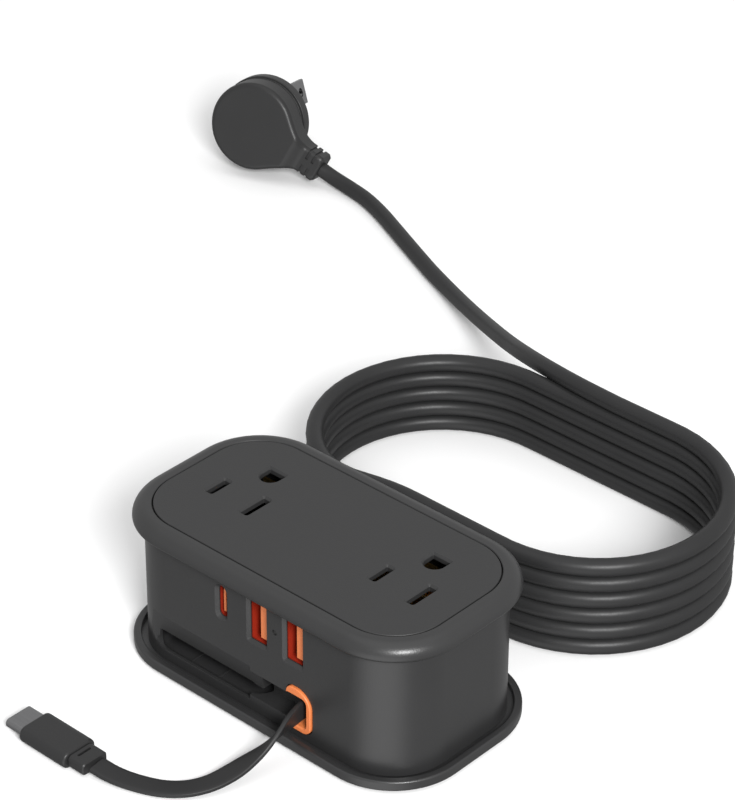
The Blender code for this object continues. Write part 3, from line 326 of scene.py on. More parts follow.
def moulded_group():
    """Node group of a moulded surface: slow mottle in colour, patchy gloss and a fine grain."""
    group, given, place = open_group("moulded_surface", {"Grain Scale": "Float", "Mottle": "Float"})
    swing = noise(group, place, 90.0, 3.0)[1]
    grain, fine = noise(group, place, given["Grain Scale"], 2.0)
    gloss = math_node(group, "ADD", swing, fine)
    return close_group(group, given, swing, given["Mottle"], gloss, 0.10, grain)


def drawn_group():
    """Node group of a drawn metal surface: fine streaks along one direction."""
    group, given, place = open_group("drawn_metal", {"Streak Scale": "Vector"})
    stretched = vector_node(group, "MULTIPLY", {0: place, 1: given["Streak Scale"]})
    streak, swing = noise(group, stretched, 1.0, 3.0)
    return close_group(group, given, swing, 0.18, swing, 0.16, streak)


def finish_of(name, group, colour, values, bump, shading):
    """A material that feeds one Principled shader from a surface group."""
    label = f"{name}_finish"
    if label in bpy.data.materials:
        return bpy.data.materials[label]
    made = bpy.data.materials.new(label)
    made.use_nodes = True
    made.diffuse_color = (*colour, 1.0)
    tree = made.node_tree
    inputs = {"Colour": (*colour, 1.0), **values}
    surface = add_node(tree, "ShaderNodeGroup", inputs, node_tree=group).outputs
    inputs = {"Strength": bump, "Distance": 0.0001, "Height": surface["Height"]}
    relief = add_node(tree, "ShaderNodeBump", inputs).outputs["Normal"]
    feed(tree, tree.nodes["Principled BSDF"], {
        "Base Color": surface["Colour"], "Roughness": surface["Roughness"], "Normal": relief, **shading})
    return made


def plastic(name, colour, roughness, bump=0.25, grain=2600.0, mottle=0.12, specular=0.5):
    """A moulded finish."""
    group = bpy.data.node_groups.get("moulded_surface") or moulded_group()
    values = {"Roughness": roughness, "Grain Scale": grain, "Mottle": mottle}
    return finish_of(name, group, colour, values, bump, {"Specular IOR Level": specular})


def metal(name, colour, roughness, streaks):
    """A drawn metal finish."""
    group = bpy.data.node_groups.get("drawn_metal") or drawn_group()
    values = {"Roughness": roughness, "Streak Scale": streaks}
    return finish_of(name, group, colour, values, 0.12, {"Metallic": 1.0})


def tone(name, share=1.0):
    """A colour of the sidebar, or a share of it."""
    return tuple(share * part for part in getattr(bpy.context.scene.strip_finish, name))


def body_plastic():
    """Satin moulding of the body, the base plate and the strain relief at the back."""
    return plastic("charcoal_moulding", tone("body"), 0.33, specular=0.47)


def grip_plastic():
    """Slightly duller and darker moulding of the plug and the connector."""
    return plastic("grip_moulding", tone("body", 0.8), 0.40, specular=0.34)


def panel_plastic():
    """Fine matte moulding of the top."""
    return plastic("panel_moulding", tone("body"), 0.46, bump=0.30, grain=3200.0, specular=0.40)


def jacket_rubber():
    """Satin jacket of the cords."""
    return plastic("cord_jacket", tone("jacket"), 0.40, 0.12, 1800.0, 0.16, 0.25)


def plated_metal():
    """Nickel plating of blades, screws, reel parts and connector."""
    return metal("nickel_plating", tone("metal"), 0.22, (60.0, 1500.0, 1500.0))


def black_resin():
    """Dark resin of the status light and the connector's tongue."""
    return plastic("black_resin", (0.02, 0.02, 0.02), 0.4)


def only(parts, kind):
    """Those parts of a mesh that are of one kind."""
    return [part for part in parts if isinstance(part, kind)]


def ring_sweep(loops, closed=False, turn=UPRIGHT):
    """Extrudes a ring of edges through loops of points; caps it, or bridges the last to the first."""
    mesh = bmesh.new()
    station = mesh.verts.layers.int.new("station")
    ring = bmesh.ops.create_circle(mesh, segments=len(loops[0]), radius=1.0)["verts"]
    for k, vert in enumerate(ring):
        vert[station] = k
    first = edges = mesh.edges[:]
    for level, loop in enumerate(loops):
        if level:
            grown = bmesh.ops.extrude_edge_only(mesh, edges=edges)["geom"]
            ring = set(only(grown, bmesh.types.BMVert))
            edges = [edge for edge in only(grown, bmesh.types.BMEdge) if ring.issuperset(edge.verts)]
        for vert in ring:
            vert.co = loop[vert[station]]
    if closed:
        bmesh.ops.bridge_loops(mesh, edges=first + edges)
    else:
        bmesh.ops.edgeloop_fill(mesh, edges=first)
        bmesh.ops.edgeloop_fill(mesh, edges=edges)
    mesh.transform(turn)
    return mesh


def cornered(cores, radii, height, steps):
    """Points round four corners, each with its own middle and radius, at one height."""
    points = []
    signs = ((1, 1), (-1, 1), (-1, -1), (1, -1))
    for quarter, ((sx, sy), core, radius) in enumerate(zip(signs, cores, radii)):
        points += arc((sx * core[0], sy * core[1]), radius, quarter, quarter + 1, steps)
    return [(x, y, height) for x, y in points]


def rounded(core, radius, height, steps):
    """Points of a rounded outline of one corner radius, at one height."""
    return cornered([core] * 4, [radius] * 4, height, steps)


def outline_sweep(core, levels, steps, closed=False, turn=UPRIGHT, centre=(0.0, 0.0, 0.0)):
    """Sweeps a rounded outline through (corner radius, height) levels."""
    loops = [rounded(core, radius, height, steps) for radius, height in levels]
    return ring_sweep(loops, closed, Matrix.Translation(centre) @ turn)


def spun(profile, steps, turn=UPRIGHT):
    """A ring or solid spun round Z from (radius, z) points; points on the axis close it."""
    mesh = bmesh.new()
    points = [mesh.verts.new((radius, 0.0, z)) for radius, z in profile]
    edges = [mesh.edges.new(pair) for pair in zip(points, points[1:])]
    bmesh.ops.spin(mesh, geom=points + edges, axis=(0, 0, 1), cent=(0, 0, 0),
                   angle=math.tau, steps=steps, use_merge=True)
    bmesh.ops.remove_doubles(mesh, verts=mesh.verts, dist=1e-7)
    mesh.transform(turn)
    return mesh


def ease(value, start, end):
    """Runs smoothly from 0 to 1 as a value goes from start to end."""
    share = min(max((value - start) / (end - start), 0.0), 1.0)
    return share * share * (3 - 2 * share)


def arc(centre, reach, start, end, steps, rise=None):
    """Points on an arc, angles in quarter turns; a rise apart from the reach makes it elliptic."""
    angles = [math.pi / 2 * (start + (end - start) * step / steps) for step in range(steps + 1)]
    rise = reach if rise is None else rise
    return [(centre[0] + reach * math.cos(angle), centre[1] + rise * math.sin(angle)) for angle in angles]


def box(low, high, turn=UPRIGHT):
    """A box between two corners."""
    mesh = bmesh.new()
    bmesh.ops.create_cube(mesh, size=1.0)
    bmesh.ops.scale(mesh, vec=Vector(high) - Vector(low), verts=mesh.verts)
    bmesh.ops.translate(mesh, vec=(Vector(high) + Vector(low)) / 2, verts=mesh.verts)
    mesh.transform(turn)
    return mesh


def bar(radius, low, high, steps=24, turn=UPRIGHT):
    """A round bar along Z."""
    mesh = bmesh.new()
    bmesh.ops.create_cone(mesh, cap_ends=True, segments=steps, radius1=radius, radius2=radius,
                          depth=high - low)
    bmesh.ops.translate(mesh, vec=(0, 0, (low + high) / 2), verts=mesh.verts)
    mesh.transform(turn)
    return mesh


def whole(mesh):
    """All points, edges and faces of a mesh."""
    return mesh.verts[:] + mesh.edges[:] + mesh.faces[:]


def clip(mesh, axis, limit, side=1):
    """Cuts a solid off where it passes a limit on an axis, and closes the cut."""
    out = Vector((0.0, 0.0, 0.0))
    out[axis] = 1.0
    cut = bmesh.ops.bisect_plane(mesh, geom=whole(mesh), plane_co=limit * out, plane_no=side * out,
                                 clear_outer=True)
    bmesh.ops.edgeloop_fill(mesh, edges=only(cut["geom_cut"], bmesh.types.BMEdge))
    return mesh


def linked(name, data):
    """A new object in the scene."""
    made = bpy.data.objects.new(name, data)
    bpy.context.scene.collection.objects.link(made)
    return made


def as_object(name, mesh):
    """An object from a bmesh whose faces point outwards."""
    mesh.normal_update()
    bmesh.ops.recalc_face_normals(mesh, faces=mesh.faces)
    data = bpy.data.meshes.new(name)
    mesh.to_mesh(data)
    mesh.free()
    return linked(name, data)


def carve(piece, tools, operation="DIFFERENCE"):
    """Joins or cuts a piece with one tool mesh after another and keeps the result as its mesh."""
    for k, tool in enumerate(tools):
        helper = as_object(f"{piece.name}_tool_{k}", tool)
        step = piece.modifiers.new(helper.name, "BOOLEAN")
        step.operation = operation
        step.object = helper
        settle(piece)
        bpy.data.meshes.remove(helper.data)
        weld(piece)


def weld(piece):
    """Joins the points that a cut has left closer than a sliver, so that the piece stays closed."""
    mesh = bmesh.new()
    mesh.from_mesh(piece.data)
    bmesh.ops.remove_doubles(mesh, verts=mesh.verts, dist=SLIVER)
    bmesh.ops.dissolve_degenerate(mesh, edges=mesh.edges, dist=SLIVER)
    mesh.to_mesh(piece.data)
    mesh.free()


def settle(piece):
    """Applies a piece's modifiers to its mesh."""
    bpy.context.view_layer.update()
    graph = bpy.context.evaluated_depsgraph_get()
    made = bpy.data.meshes.new_from_object(piece.evaluated_get(graph))
    old = piece.data
    piece.modifiers.clear()
    piece.data = made
    bpy.data.meshes.remove(old)


def soften(piece, width, segments=2, angle=32.0, crisp=None):
    """Rounds a piece's sharp edges where they have room, apart from those at crisp spots."""
    mesh = bmesh.new()
    mesh.from_mesh(piece.data)
    room = 2.5 * width
    left = {vert for edge in mesh.edges if edge.calc_length() < room for vert in edge.verts}
    if crisp:
        left.update(vert for vert in mesh.verts if crisp(vert.co))
    sharp = [edge for edge in mesh.edges if edge.is_manifold and left.isdisjoint(edge.verts)
             and edge.calc_face_angle() > math.radians(angle)]
    bmesh.ops.bevel(mesh, geom=sharp, offset=width, offset_type="OFFSET", segments=segments, profile=0.5,
                    affect="EDGES", clamp_overlap=True, material=-1)
    mesh.to_mesh(piece.data)
    mesh.free()


def paint(piece, material):
    """Gives a piece or a solid one material."""
    piece.data.materials.clear()
    piece.data.materials.append(material)


def dress(piece, material, replaced, angle=35.0):
    """Gives a finished piece its material, shading and body, and hides the solids it stands for."""
    paint(piece, material)
    if piece.type == "MESH":
        piece.data.shade_smooth()
        piece.data.set_sharp_from_angle(angle=math.radians(angle))
        step = piece.modifiers.new("even shading", "WEIGHTED_NORMAL")
        step.keep_sharp = True
        settle(piece)
    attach(piece, STRIP)
    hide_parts(*replaced)


def smooth_route(points, step):
    """Points at an even step along a smooth curve through the given ones."""
    rows = [Vector(point) for point in points]
    rows = [2 * rows[0] - rows[1], *rows, 2 * rows[-1] - rows[-2]]
    fine = []
    splits = 40
    for a, b, c, d in zip(rows, rows[1:], rows[2:], rows[3:]):
        for k in range(splits):
            t = k / splits
            fine.append(0.5 * (2 * b + (c - a) * t + (2 * a - 5 * b + 4 * c - d) * t ** 2
                               + (3 * b - a - 3 * c + d) * t ** 3))
    fine.append(rows[-2])
    total = length_of(fine)
    count = max(2, round(total / step))
    wanted = [total * k / count for k in range(1, count)]
    kept = [fine[0]]
    run = 0.0
    for p, q in zip(fine, fine[1:]):
        length = (q - p).length
        while wanted and wanted[0] <= run + length:
            kept.append(p.lerp(q, (wanted.pop(0) - run) / length))
        run += length
    return kept + [fine[-1]]


def length_of(points):
    """Length of a line through points."""
    return sum((q - p).length for p, q in zip(points, points[1:]))


def flared(size, corner, centre, depths, steps, turn):
    """A solid with a rounded outline that grows by the given (grow, height) levels."""
    core = (size[0] / 2 - corner, size[1] / 2 - corner)
    levels = [(corner + grow, height) for grow, height in depths]
    return outline_sweep(core, levels, steps, turn=turn, centre=centre)


def mouth_sweep(levels):
    """The outline of the cable mouth swept through (grow, height) levels."""
    cores = [(MOUTH[0] / 2 - radius, MOUTH[1] / 2 - radius) for radius in MOUTH_ROUNDS]
    loops = [cornered(cores, [radius + grow for radius in MOUTH_ROUNDS], height, 12)
             for grow, height in levels]
    return ring_sweep(loops, turn=Matrix.Translation((MOUTH_AT[0], -FRONT, MOUTH_AT[1])) @ TO_FRONT)


def stays_crisp(spot):
    """Whether a spot lies where the hollowed wall runs out, which stays unrounded."""
    return spot.x < OPENING[0] + FIT and RIDGE + FIT < spot.z < SCOOP_TOP + FIT


def shell_profile():
    """Round the wall: outside up, over the rim, inside down."""
    rim_inner = PANEL + FIT
    under = RIM_WIDE_Z - RIM_CURL
    fillet = 0.0007
    reach = RIM - rim_inner - RIM_FLAT
    ledge = PANEL_LOW - FIT
    seat = PANEL - 0.0013
    edge = 0.0002
    levels = [(WAIST, SHELL_LOW)]
    levels += arc((WAIST + fillet, under - fillet), fillet, 2, 1, 9)
    levels += arc((RIM - RIM_CURL, RIM_WIDE_Z), RIM_CURL, -1, 0, 12)
    levels += arc((RIM - reach, RIM_WIDE_Z), reach, 0, 1, 16, HEIGHT - RIM_WIDE_Z)[1:]
    levels += [(rim_inner + edge, HEIGHT), (rim_inner, HEIGHT - edge), (rim_inner, ledge),
               (seat, ledge), (seat, ledge - 0.0015),
               (WAIST - WALL, ledge - 0.0030), (WAIST - WALL, SHELL_LOW)]
    return levels


def shell_backing(steps):
    """Walls of the pocket and the groove behind the front."""
    middle = WAIST - WALL / 2
    for right, deep, low, high in (
            (POCKET_X[1] + BACKING, POCKET_DEPTH, SHELL_LOW + FIT, RIDGE),
            (MOUTH_AT[0] - MOUTH[0] / 2, GROOVE_DEPTH, SHELL_LOW + 2 * FIT, GROOVE_Z[1])):
        mesh = outline_sweep(BODY_CORE, [(middle, low), (middle, high + BACKING)], steps)
        yield clip(clip(mesh, 0, right), 1, deep + BACKING - FRONT)


def scoop_cutters(steps):
    """The hollowed wall above the pocket; it fades out round the left corner."""
    skin = [Vector(point) for point in rounded(BODY_CORE, WAIST, 0.0, steps)]
    core = [Vector(point) for point in rounded(BODY_CORE, 0.0, 0.0, steps)]
    below = RIDGE - 0.0002
    clear = 0.00006
    loops = [[] for level in range(5)]
    for outer, inner in zip(skin, core):
        share = ease(outer.x, *SCOOP_FADE)
        spare = clear * (1 - share)
        low = below if outer.x > OPENING[0] else SCOOP_LOW
        levels = ((-PAST, low), (-FIT, low), (SCOOP_DEPTH * share - spare, RIDGE),
                  (SCOOP_STEP * share - spare, SCOOP_TOP), (-PAST, SCOOP_TOP))
        for loop, (depth, height) in zip(loops, levels):
            spot = outer.lerp(inner, depth / WAIST)
            loop.append((spot.x, spot.y, height))
    yield clip(clip(ring_sweep(loops, closed=True), 1, 0.0), 0, OPENING[1])
    high = GROOVE_Z[1] - OFF
    upper = SCOOP_DEPTH + (SCOOP_STEP - SCOOP_DEPTH) * (high - RIDGE) / (SCOOP_TOP - RIDGE)
    section = ((-PAST, below), (-FIT, below), (SCOOP_DEPTH, RIDGE), (upper, high), (-PAST, high))
    yield ring_sweep([[(x, depth - FRONT, z) for depth, z in section]
                      for x in (OPENING[1] - FIT, SCOOP_RIGHT)])


def pocket_cutters():
    """The opening of the pocket, its room behind, and the groove to the mouth."""
    size = (2 * (OPENING[1] - OPENING[0]), 2 * (RIDGE - POCKET_LIP))
    depths = [(0.0, -OPENING_DEPTH), (0.0, PAST)]
    opening = flared(size, OPENING_ROUND, (OPENING[1], -FRONT, RIDGE), depths, 8, TO_FRONT)
    yield clip(clip(opening, 2, RIDGE + 2 * OFF), 0, OPENING[1] - 3 * OFF)
    left, right = POCKET_X
    depth = POCKET_DEPTH - SCOOP_DEPTH / 2
    bowl = 0.0018
    curve = arc((-bowl, POCKET_FLOOR + bowl), bowl, -1, 0, 8)
    yield flared((right - left, depth), POCKET_ROUND,
                 ((left + right) / 2, POCKET_DEPTH - FRONT - depth / 2, 0.0),
                 [*curve, (0.0, RIDGE)], 10, UPRIGHT)
    left, right, step = OPENING[1] - FIT, MOUTH_AT[0], SCOOP_RIGHT - FIT
    low, high = GROOVE_Z
    notch = RIDGE - OFF
    groove = ((left, low), (right, low), (right, high), (step, high), (step, notch), (left, notch))
    ends = (GROOVE_DEPTH - FRONT, -FRONT - PAST - OFF)
    yield ring_sweep([[(x, y, z) for x, z in groove] for y in ends])


def shell_cutters(settings, steps):
    """Hollowed wall, pocket, groove, ports, mouth, light and inlet."""
    yield from scoop_cutters(steps)
    yield from pocket_cutters()
    flare = settings.port_flare
    nose = PORT_WALL + FIT
    land = -flare - PORT_LAND
    depths = [(nose, -WALL - PAST), (nose, land), (0.0, land), (0.0, -flare), (flare + PAST, PAST)]
    yield flared(USB_C, USB_C[0] / 2 - 0.00002, (USB_C_X, -FRONT, PORT_Z), depths, 8, TO_FRONT)
    for x in USB_A_XS:
        yield flared(USB_A, USB_A_ROUND, (x, -FRONT, PORT_Z), depths, 2, TO_FRONT)
    yield mouth_sweep([(FIT, -MOUTH_LENGTH - PAST), (FIT, PAST)])
    light = Matrix.Translation((sum(USB_A_XS) / 2, -FRONT, PORT_Z)) @ TO_FRONT
    yield bar(LIGHT_R + FIT / 2, -WALL - PAST, PAST, 16, light)
    yield bar(INLET_R + FIT, -INLET_INSIDE - PAST, INLET_LENGTH, 32, inlet_frame())


def pocket_ribs():
    """Two low ribs across the floor of the pocket."""
    back = POCKET_DEPTH - FRONT
    half, length, sunk, proud = 0.0002, 0.0095, 0.0004, 0.0003
    for x in RIBS:
        yield box((x - half, back - length, POCKET_FLOOR - sunk),
                  (x + half, back + sunk, POCKET_FLOOR + proud))


class STRIP_OT_shell(bpy.types.Operator):
    """Body wall with its rim, pocket, groove, port openings and cord holes."""

    bl_idname = "strip.shell"
    bl_label = "Body Shell"

    def execute(self, context):
        settings = context.scene.strip_body
        steps = settings.corner_steps
        shell = as_object("body_shell", outline_sweep(BODY_CORE, shell_profile(), steps, closed=True))
        carve(shell, shell_backing(steps), "UNION")
        carve(shell, shell_cutters(settings, steps))
        carve(shell, pocket_ribs(), "UNION")
        soften(shell, settings.edge_round, 2, 12.0, stays_crisp)
        dress(shell, body_plastic(), ["main_shell"], angle=30.0)
        return {"FINISHED"}


def inlet_frame():
    """Frame of the mains strain relief: its axis leaves the back wall askew and dips."""
    aim = Vector((math.cos(INLET_TURN) * math.cos(INLET_DIP), math.sin(INLET_TURN) * math.cos(INLET_DIP),
                  -math.sin(INLET_DIP)))
    return Matrix.Translation(INLET_AT) @ aim.to_track_quat("Z", "Y").to_matrix().to_4x4()


def earth_outline(radius, height):
    """Outline of an earth hole: round towards the slots, flat at the back."""
    points = [(radius, radius), (-radius, radius), *arc((0.0, 0.0), radius, 2, 4, 16)]
    return [(x, y, height) for x, y in points]


class STRIP_OT_panel(bpy.types.Operator):
    """Flat top with the slots and earth holes of its two outlets."""

    bl_idname = "strip.panel"
    bl_label = "Top Panel"

    def execute(self, context):
        settings = context.scene.strip_body
        edge = 0.00025
        levels = [(PANEL, PANEL_LOW), *arc((PANEL - edge, HEIGHT - edge), edge, 0, 1, 3)]
        panel = as_object("outlet_panel", outline_sweep(BODY_CORE, levels, settings.corner_steps))
        flare = settings.slot_flare
        depths = [(0.0, PANEL_LOW - PAST), (0.0, HEIGHT - flare), (flare + FIT, HEIGHT + FIT)]
        tools = []
        for x in OUTLETS:
            for size, side in ((LIVE_SLOT, -1), (NEUTRAL_SLOT, 1)):
                centre = (x + side * BLADE_GAP / 2, SLOT_Y, 0.0)
                tools.append(flared(size, edge, centre, depths, 3, UPRIGHT))
            loops = [earth_outline(EARTH_R + grow, height) for grow, height in depths]
            tools.append(ring_sweep(loops, turn=Matrix.Translation((x, SLOT_Y + EARTH_OFFSET, 0))))
        carve(panel, tools)
        soften(panel, 0.00008, 1)
        dress(panel, panel_plastic(), ["top_panel"])
        return {"FINISHED"}


def stand_of(name):
    """Where a round solid stands, its radius, and its lowest and highest level."""
    low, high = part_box(name)
    spot = Matrix.Translation(((low.x + high.x) / 2, (low.y + high.y) / 2, 0.0))
    return spot, (high.x - low.x) / 2, low.z, high.z


def add_foot(k):
    """A round rubber foot."""
    spot, reach, _, top = stand_of(f"rubber_foot_{k}")
    edge = 0.0004
    profile = [(0.0, 0.0), (reach * 0.8, 0.0), *arc((reach - edge, edge), edge, -1, 0, 4),
               (reach, top), (0.0, top)]
    foot = as_object(f"foot_{k}", spun(profile, 40, spot))
    rubber = plastic("foot_rubber", (0.022, 0.022, 0.022), 0.78, bump=0.5, grain=1500.0)
    dress(foot, rubber, [f"rubber_foot_{k}"])


def add_screw(k):
    """A screw with a crossed recess in its head."""
    node = f"base_screw_{k}"
    spot, reach, low, top = stand_of(node)
    head = low + 0.0005
    edge, point, slot, arm = 0.0002, 0.0008, 0.00032, reach * 0.6
    profile = [(0.0, low), *arc((reach - edge, low + edge), edge, -1, 0, 3), (reach, head),
               (SCREW_R, head), (SCREW_R, top - point), (0.0003, top), (0.0, top)]
    screw = as_object(f"screw_{k}", spun(profile, 32, spot))
    carve(screw, [box((-x, -y, -PAST), (x, y, head - 0.0001), spot)
                  for x, y in ((arm, slot), (slot, arm))])
    dress(screw, plated_metal(), [node])


class STRIP_OT_base(bpy.types.Operator):
    """Base plate with its raised lip, and the feet and screws under it."""

    bl_idname = "strip.base"
    bl_label = "Base Plate"

    def execute(self, context):
        edge, inner_edge = 0.0006, 0.0003
        lip_in = BASE - LIP_WIDTH
        levels = arc((BASE - edge, BASE_LOW + edge), edge, -1, 0, 6)
        levels += arc((BASE - edge, LIP_TOP - edge), edge, 0, 1, 8)
        levels += arc((lip_in + inner_edge, LIP_TOP - inner_edge), inner_edge, 1, 2, 3)
        levels += [(lip_in, BASE_TOP)]
        steps = context.scene.strip_body.corner_steps
        plate = as_object("base_plate", outline_sweep(BODY_CORE, levels, steps))
        tools = []
        for name in sorted(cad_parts):
            if name.startswith(("base_screw_", "rubber_foot_")):
                spot, reach, _, _ = stand_of(name)
                tools.append(bar(reach + FIT, -PAST, SEAT_TOP, 32, spot))
                if name.startswith("base_screw_"):
                    tools.append(bar(SCREW_HOLE_R, -PAST, BASE_TOP + PAST, 24, spot))
        carve(plate, tools)
        dress(plate, body_plastic(), ["base_cover"])
        for make in (add_foot, add_screw):
            for k in range(1, 5):
                make(k)
        return {"FINISHED"}


class STRIP_OT_mouth(bpy.types.Operator):
    """Orange cable mouth, open towards the groove."""

    bl_idname = "strip.mouth"
    bl_label = "Cable Mouth"

    def execute(self, context):
        edge = 0.0003
        back = -MOUTH_LENGTH
        levels = [(0.0, back), *arc((-edge, MOUTH_PROUD - edge), edge, 0, 1, 4)]
        ring = as_object("cable_mouth", mouth_sweep(levels))
        (left, right), (low, high) = MOUTH_HOLE
        middle = ((right + left) / 2, -FRONT, (high + low) / 2)
        depths = [(0.0, back - PAST), (0.0, MOUTH_PROUD - edge), (edge + PAST, MOUTH_PROUD + PAST)]
        tools = [flared((right - left, high - low), MOUTH_HOLE_ROUND, middle, depths, 8, TO_FRONT)]
        for top, end in ((high, MOUTH_ENDS[0]), (low + FIT, MOUTH_ENDS[1])):
            tools.append(box((left - PAST, -FRONT - PAST, 0.0), (end, PAST + MOUTH_LENGTH - FRONT, top)))
        carve(ring, tools)
        soften(ring, 0.00015)
        orange = plastic("orange_moulding", tone("accent"), 0.42, bump=0.15)
        dress(ring, orange, ["cable_grommet"])
        return {"FINISHED"}


class STRIP_OT_inside(bpy.types.Operator):
    """Finishes of the ports, boards, contacts and reel that the solids already shape."""

    bl_idname = "strip.inside"
    bl_label = "Ports and Inner Parts"

    def execute(self, context):
        looks = (
            (plastic("port_red", tone("port"), 0.40, bump=0.1),
             ("usb_a_port_1", "usb_a_port_2", "usb_c_port")),
            (plastic("tongue_orange", tone("tongue"), 0.42, bump=0.1),
             ("usb_a_port_1_tongue", "usb_a_port_2_tongue", "usb_c_port_tongue")),
            (plastic("pale_nylon", (0.58, 0.56, 0.50), 0.5), ("contact_tray", "reel_drum", "reel_cover")),
            (metal("stamped_brass", (0.72, 0.50, 0.19), 0.32, (80.0, 900.0, 900.0)),
             ("live_contact_bar", "neutral_contact_bar", "earth_contact_bar")),
            (plastic("solder_mask", (0.015, 0.12, 0.04), 0.35, bump=0.2, grain=900.0, mottle=0.3),
             ("charger_board", "power_board")),
            (plastic("transformer_tape", (0.72, 0.50, 0.10), 0.5, mottle=0.25), ("transformer",)),
            (plastic("capacitor_sleeve", (0.03, 0.04, 0.10), 0.32), ("filter_capacitor",)),
            (plastic("varistor_coat", (0.02, 0.13, 0.36), 0.42, bump=0.4, grain=1200.0),
             ("surge_varistor",)),
            (black_resin(), ("status_light",)),
            (jacket_rubber(), ("reel_winding",)),
            (plated_metal(), ("reel_spring", "reel_pin")),
        )
        for look, names in looks:
            for name in names:
                paint(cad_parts[name], look)
        return {"FINISHED"}


def coil_point(run):
    """A point of the mains coil at a number of turns from its start: it climbs only behind the body."""
    turn = math.floor(run)
    s = (run - turn) * COIL_AROUND - COIL_FIRST
    bend = math.pi * COIL_BEND
    halves = 0
    while s >= bend:
        s -= bend + COIL_STRAIGHT
        halves += 1
    angle = max(s, 0.0) / COIL_BEND - math.pi / 2
    way = -1 if halves % 2 else 1
    x = COIL_CENTRE[0] + way * (COIL_STRAIGHT / 2 + min(s, 0.0) + COIL_BEND * math.cos(angle))
    y = COIL_CENTRE[1] + way * COIL_BEND * math.sin(angle)
    if halves and y < COIL_CENTRE[1]:
        turn += ease(x, *COIL_CLIMB)
    return Vector((x, y, CORD_LIE + COIL_PITCH * turn))


def plug_turn():
    """Frame of the plug: face along its Z, neck along its X."""
    at = Vector((*PLUG_AT, PLUG_R * math.cos(PLUG_LEAN)))
    return (Matrix.Translation(at) @ Matrix.Rotation(PLUG_HEADING, 4, "Z")
            @ Matrix.Rotation(math.pi / 2 - PLUG_LEAN, 4, "X") @ Matrix.Rotation(-PLUG_DIP, 4, "Z"))


def relief_profile():
    """Tapered sleeve with ring grooves near its thin end."""
    def wall(z):
        """Radius of the sleeve at a level."""
        return INLET_R + (INLET_TIP_R - INLET_R) * (z + INLET_INSIDE) / (INLET_LENGTH + INLET_INSIDE)

    rings = 5
    deep = 0.0005
    tip = 0.0004
    first = 0.35 * INLET_LENGTH
    width = (INLET_LENGTH - first) / (2 * rings + 1)
    profile = [(0.0, -INLET_INSIDE), (INLET_R, -INLET_INSIDE), (wall(first), first)]
    for k in range(rings):
        low = first + (2 * k + 1) * width
        high = low + width
        profile += [(wall(low), low), (wall(low) - deep, low + width / 4),
                    (wall(high) - deep, high - width / 4), (wall(high), high)]
    return profile + [(wall(INLET_LENGTH), INLET_LENGTH - tip), (wall(INLET_LENGTH) - tip, INLET_LENGTH),
                      (0.0, INLET_LENGTH)]


def cord_route(stations):
    """Middle line of the cord from the strain relief to the plug's neck."""
    free = 0.0043
    out = inlet_frame()
    lead_in = [out @ Vector((0, 0, INLET_LENGTH - 0.0010)), out @ Vector((0, 0, INLET_LENGTH + free)),
               *map(Vector, INLET_LEAD), coil_point(0.0), coil_point(1 / stations)]
    points = smooth_route(lead_in, 0.0020)[:-1]
    last = COIL_FIRST + math.pi * COIL_BEND + COIL_CENTRE[0] + COIL_STRAIGHT / 2 - COIL_END_X
    stop = COIL_TURNS + last / COIL_AROUND
    count = round(stop * stations)
    points += [coil_point(stop * k / count) for k in range(1, count)]
    neck = plug_turn()
    axis = sum(NECK_Z) / 2
    tail = [coil_point(stop), *map(Vector, LEAD_ROUTE), neck @ Vector((NECK_END + free, 0, axis)),
            neck @ Vector((NECK_END - 0.0015, 0, axis))]
    return points + smooth_route(tail, 0.0030)


class STRIP_OT_mains_cord(bpy.types.Operator):
    """Strain relief at the back, and the mains cord through its coil to the plug."""

    bl_idname = "strip.mains_cord"
    bl_label = "Mains Cord"

    def execute(self, context):
        settings = context.scene.strip_cord
        relief = as_object("mains_relief", spun(relief_profile(), 40, inlet_frame()))
        dress(relief, body_plastic(), ["mains_cord_relief"])
        points = cord_route(settings.coil_stations)
        data = bpy.data.curves.new("mains_cord", "CURVE")
        data.dimensions = "3D"
        data.bevel_depth = settings.mains_diameter / 2
        data.bevel_resolution = 6
        data.use_fill_caps = True
        spline = data.splines.new("POLY")
        spline.points.add(len(points) - 1)
        for target, point in zip(spline.points, points):
            target.co = (*point, 1.0)
        spline.use_smooth = True
        cord = linked("mains_cord", data)
        dress(cord, jacket_rubber(), ["mains_cord_coil", "mains_cord_lead"])
        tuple(points[0])
        length_of(points)
        return {"FINISHED"}


def add_disc(at):
    """Base disc with a groove where the cover sits on it."""
    edge, seam, step = 0.0005, 0.0003, 0.0002
    inner = PLUG_COVER_R - step
    profile = [(0.0, 0.0), *arc((PLUG_R - edge, edge), edge, -1, 0, 4),
               *arc((PLUG_R - seam, PLUG_SEAM - seam), seam, 0, 1, 3),
               (inner, PLUG_SEAM), (inner, PLUG_SEAM + step), (PLUG_COVER_R, PLUG_SEAM + seam),
               (PLUG_COVER_R, PLUG_BASE - step / 2), (inner, PLUG_BASE), (0.0, PLUG_BASE)]
    disc = as_object("plug_disc", spun(profile, 96, at))
    dress(disc, grip_plastic(), ["plug_base"])


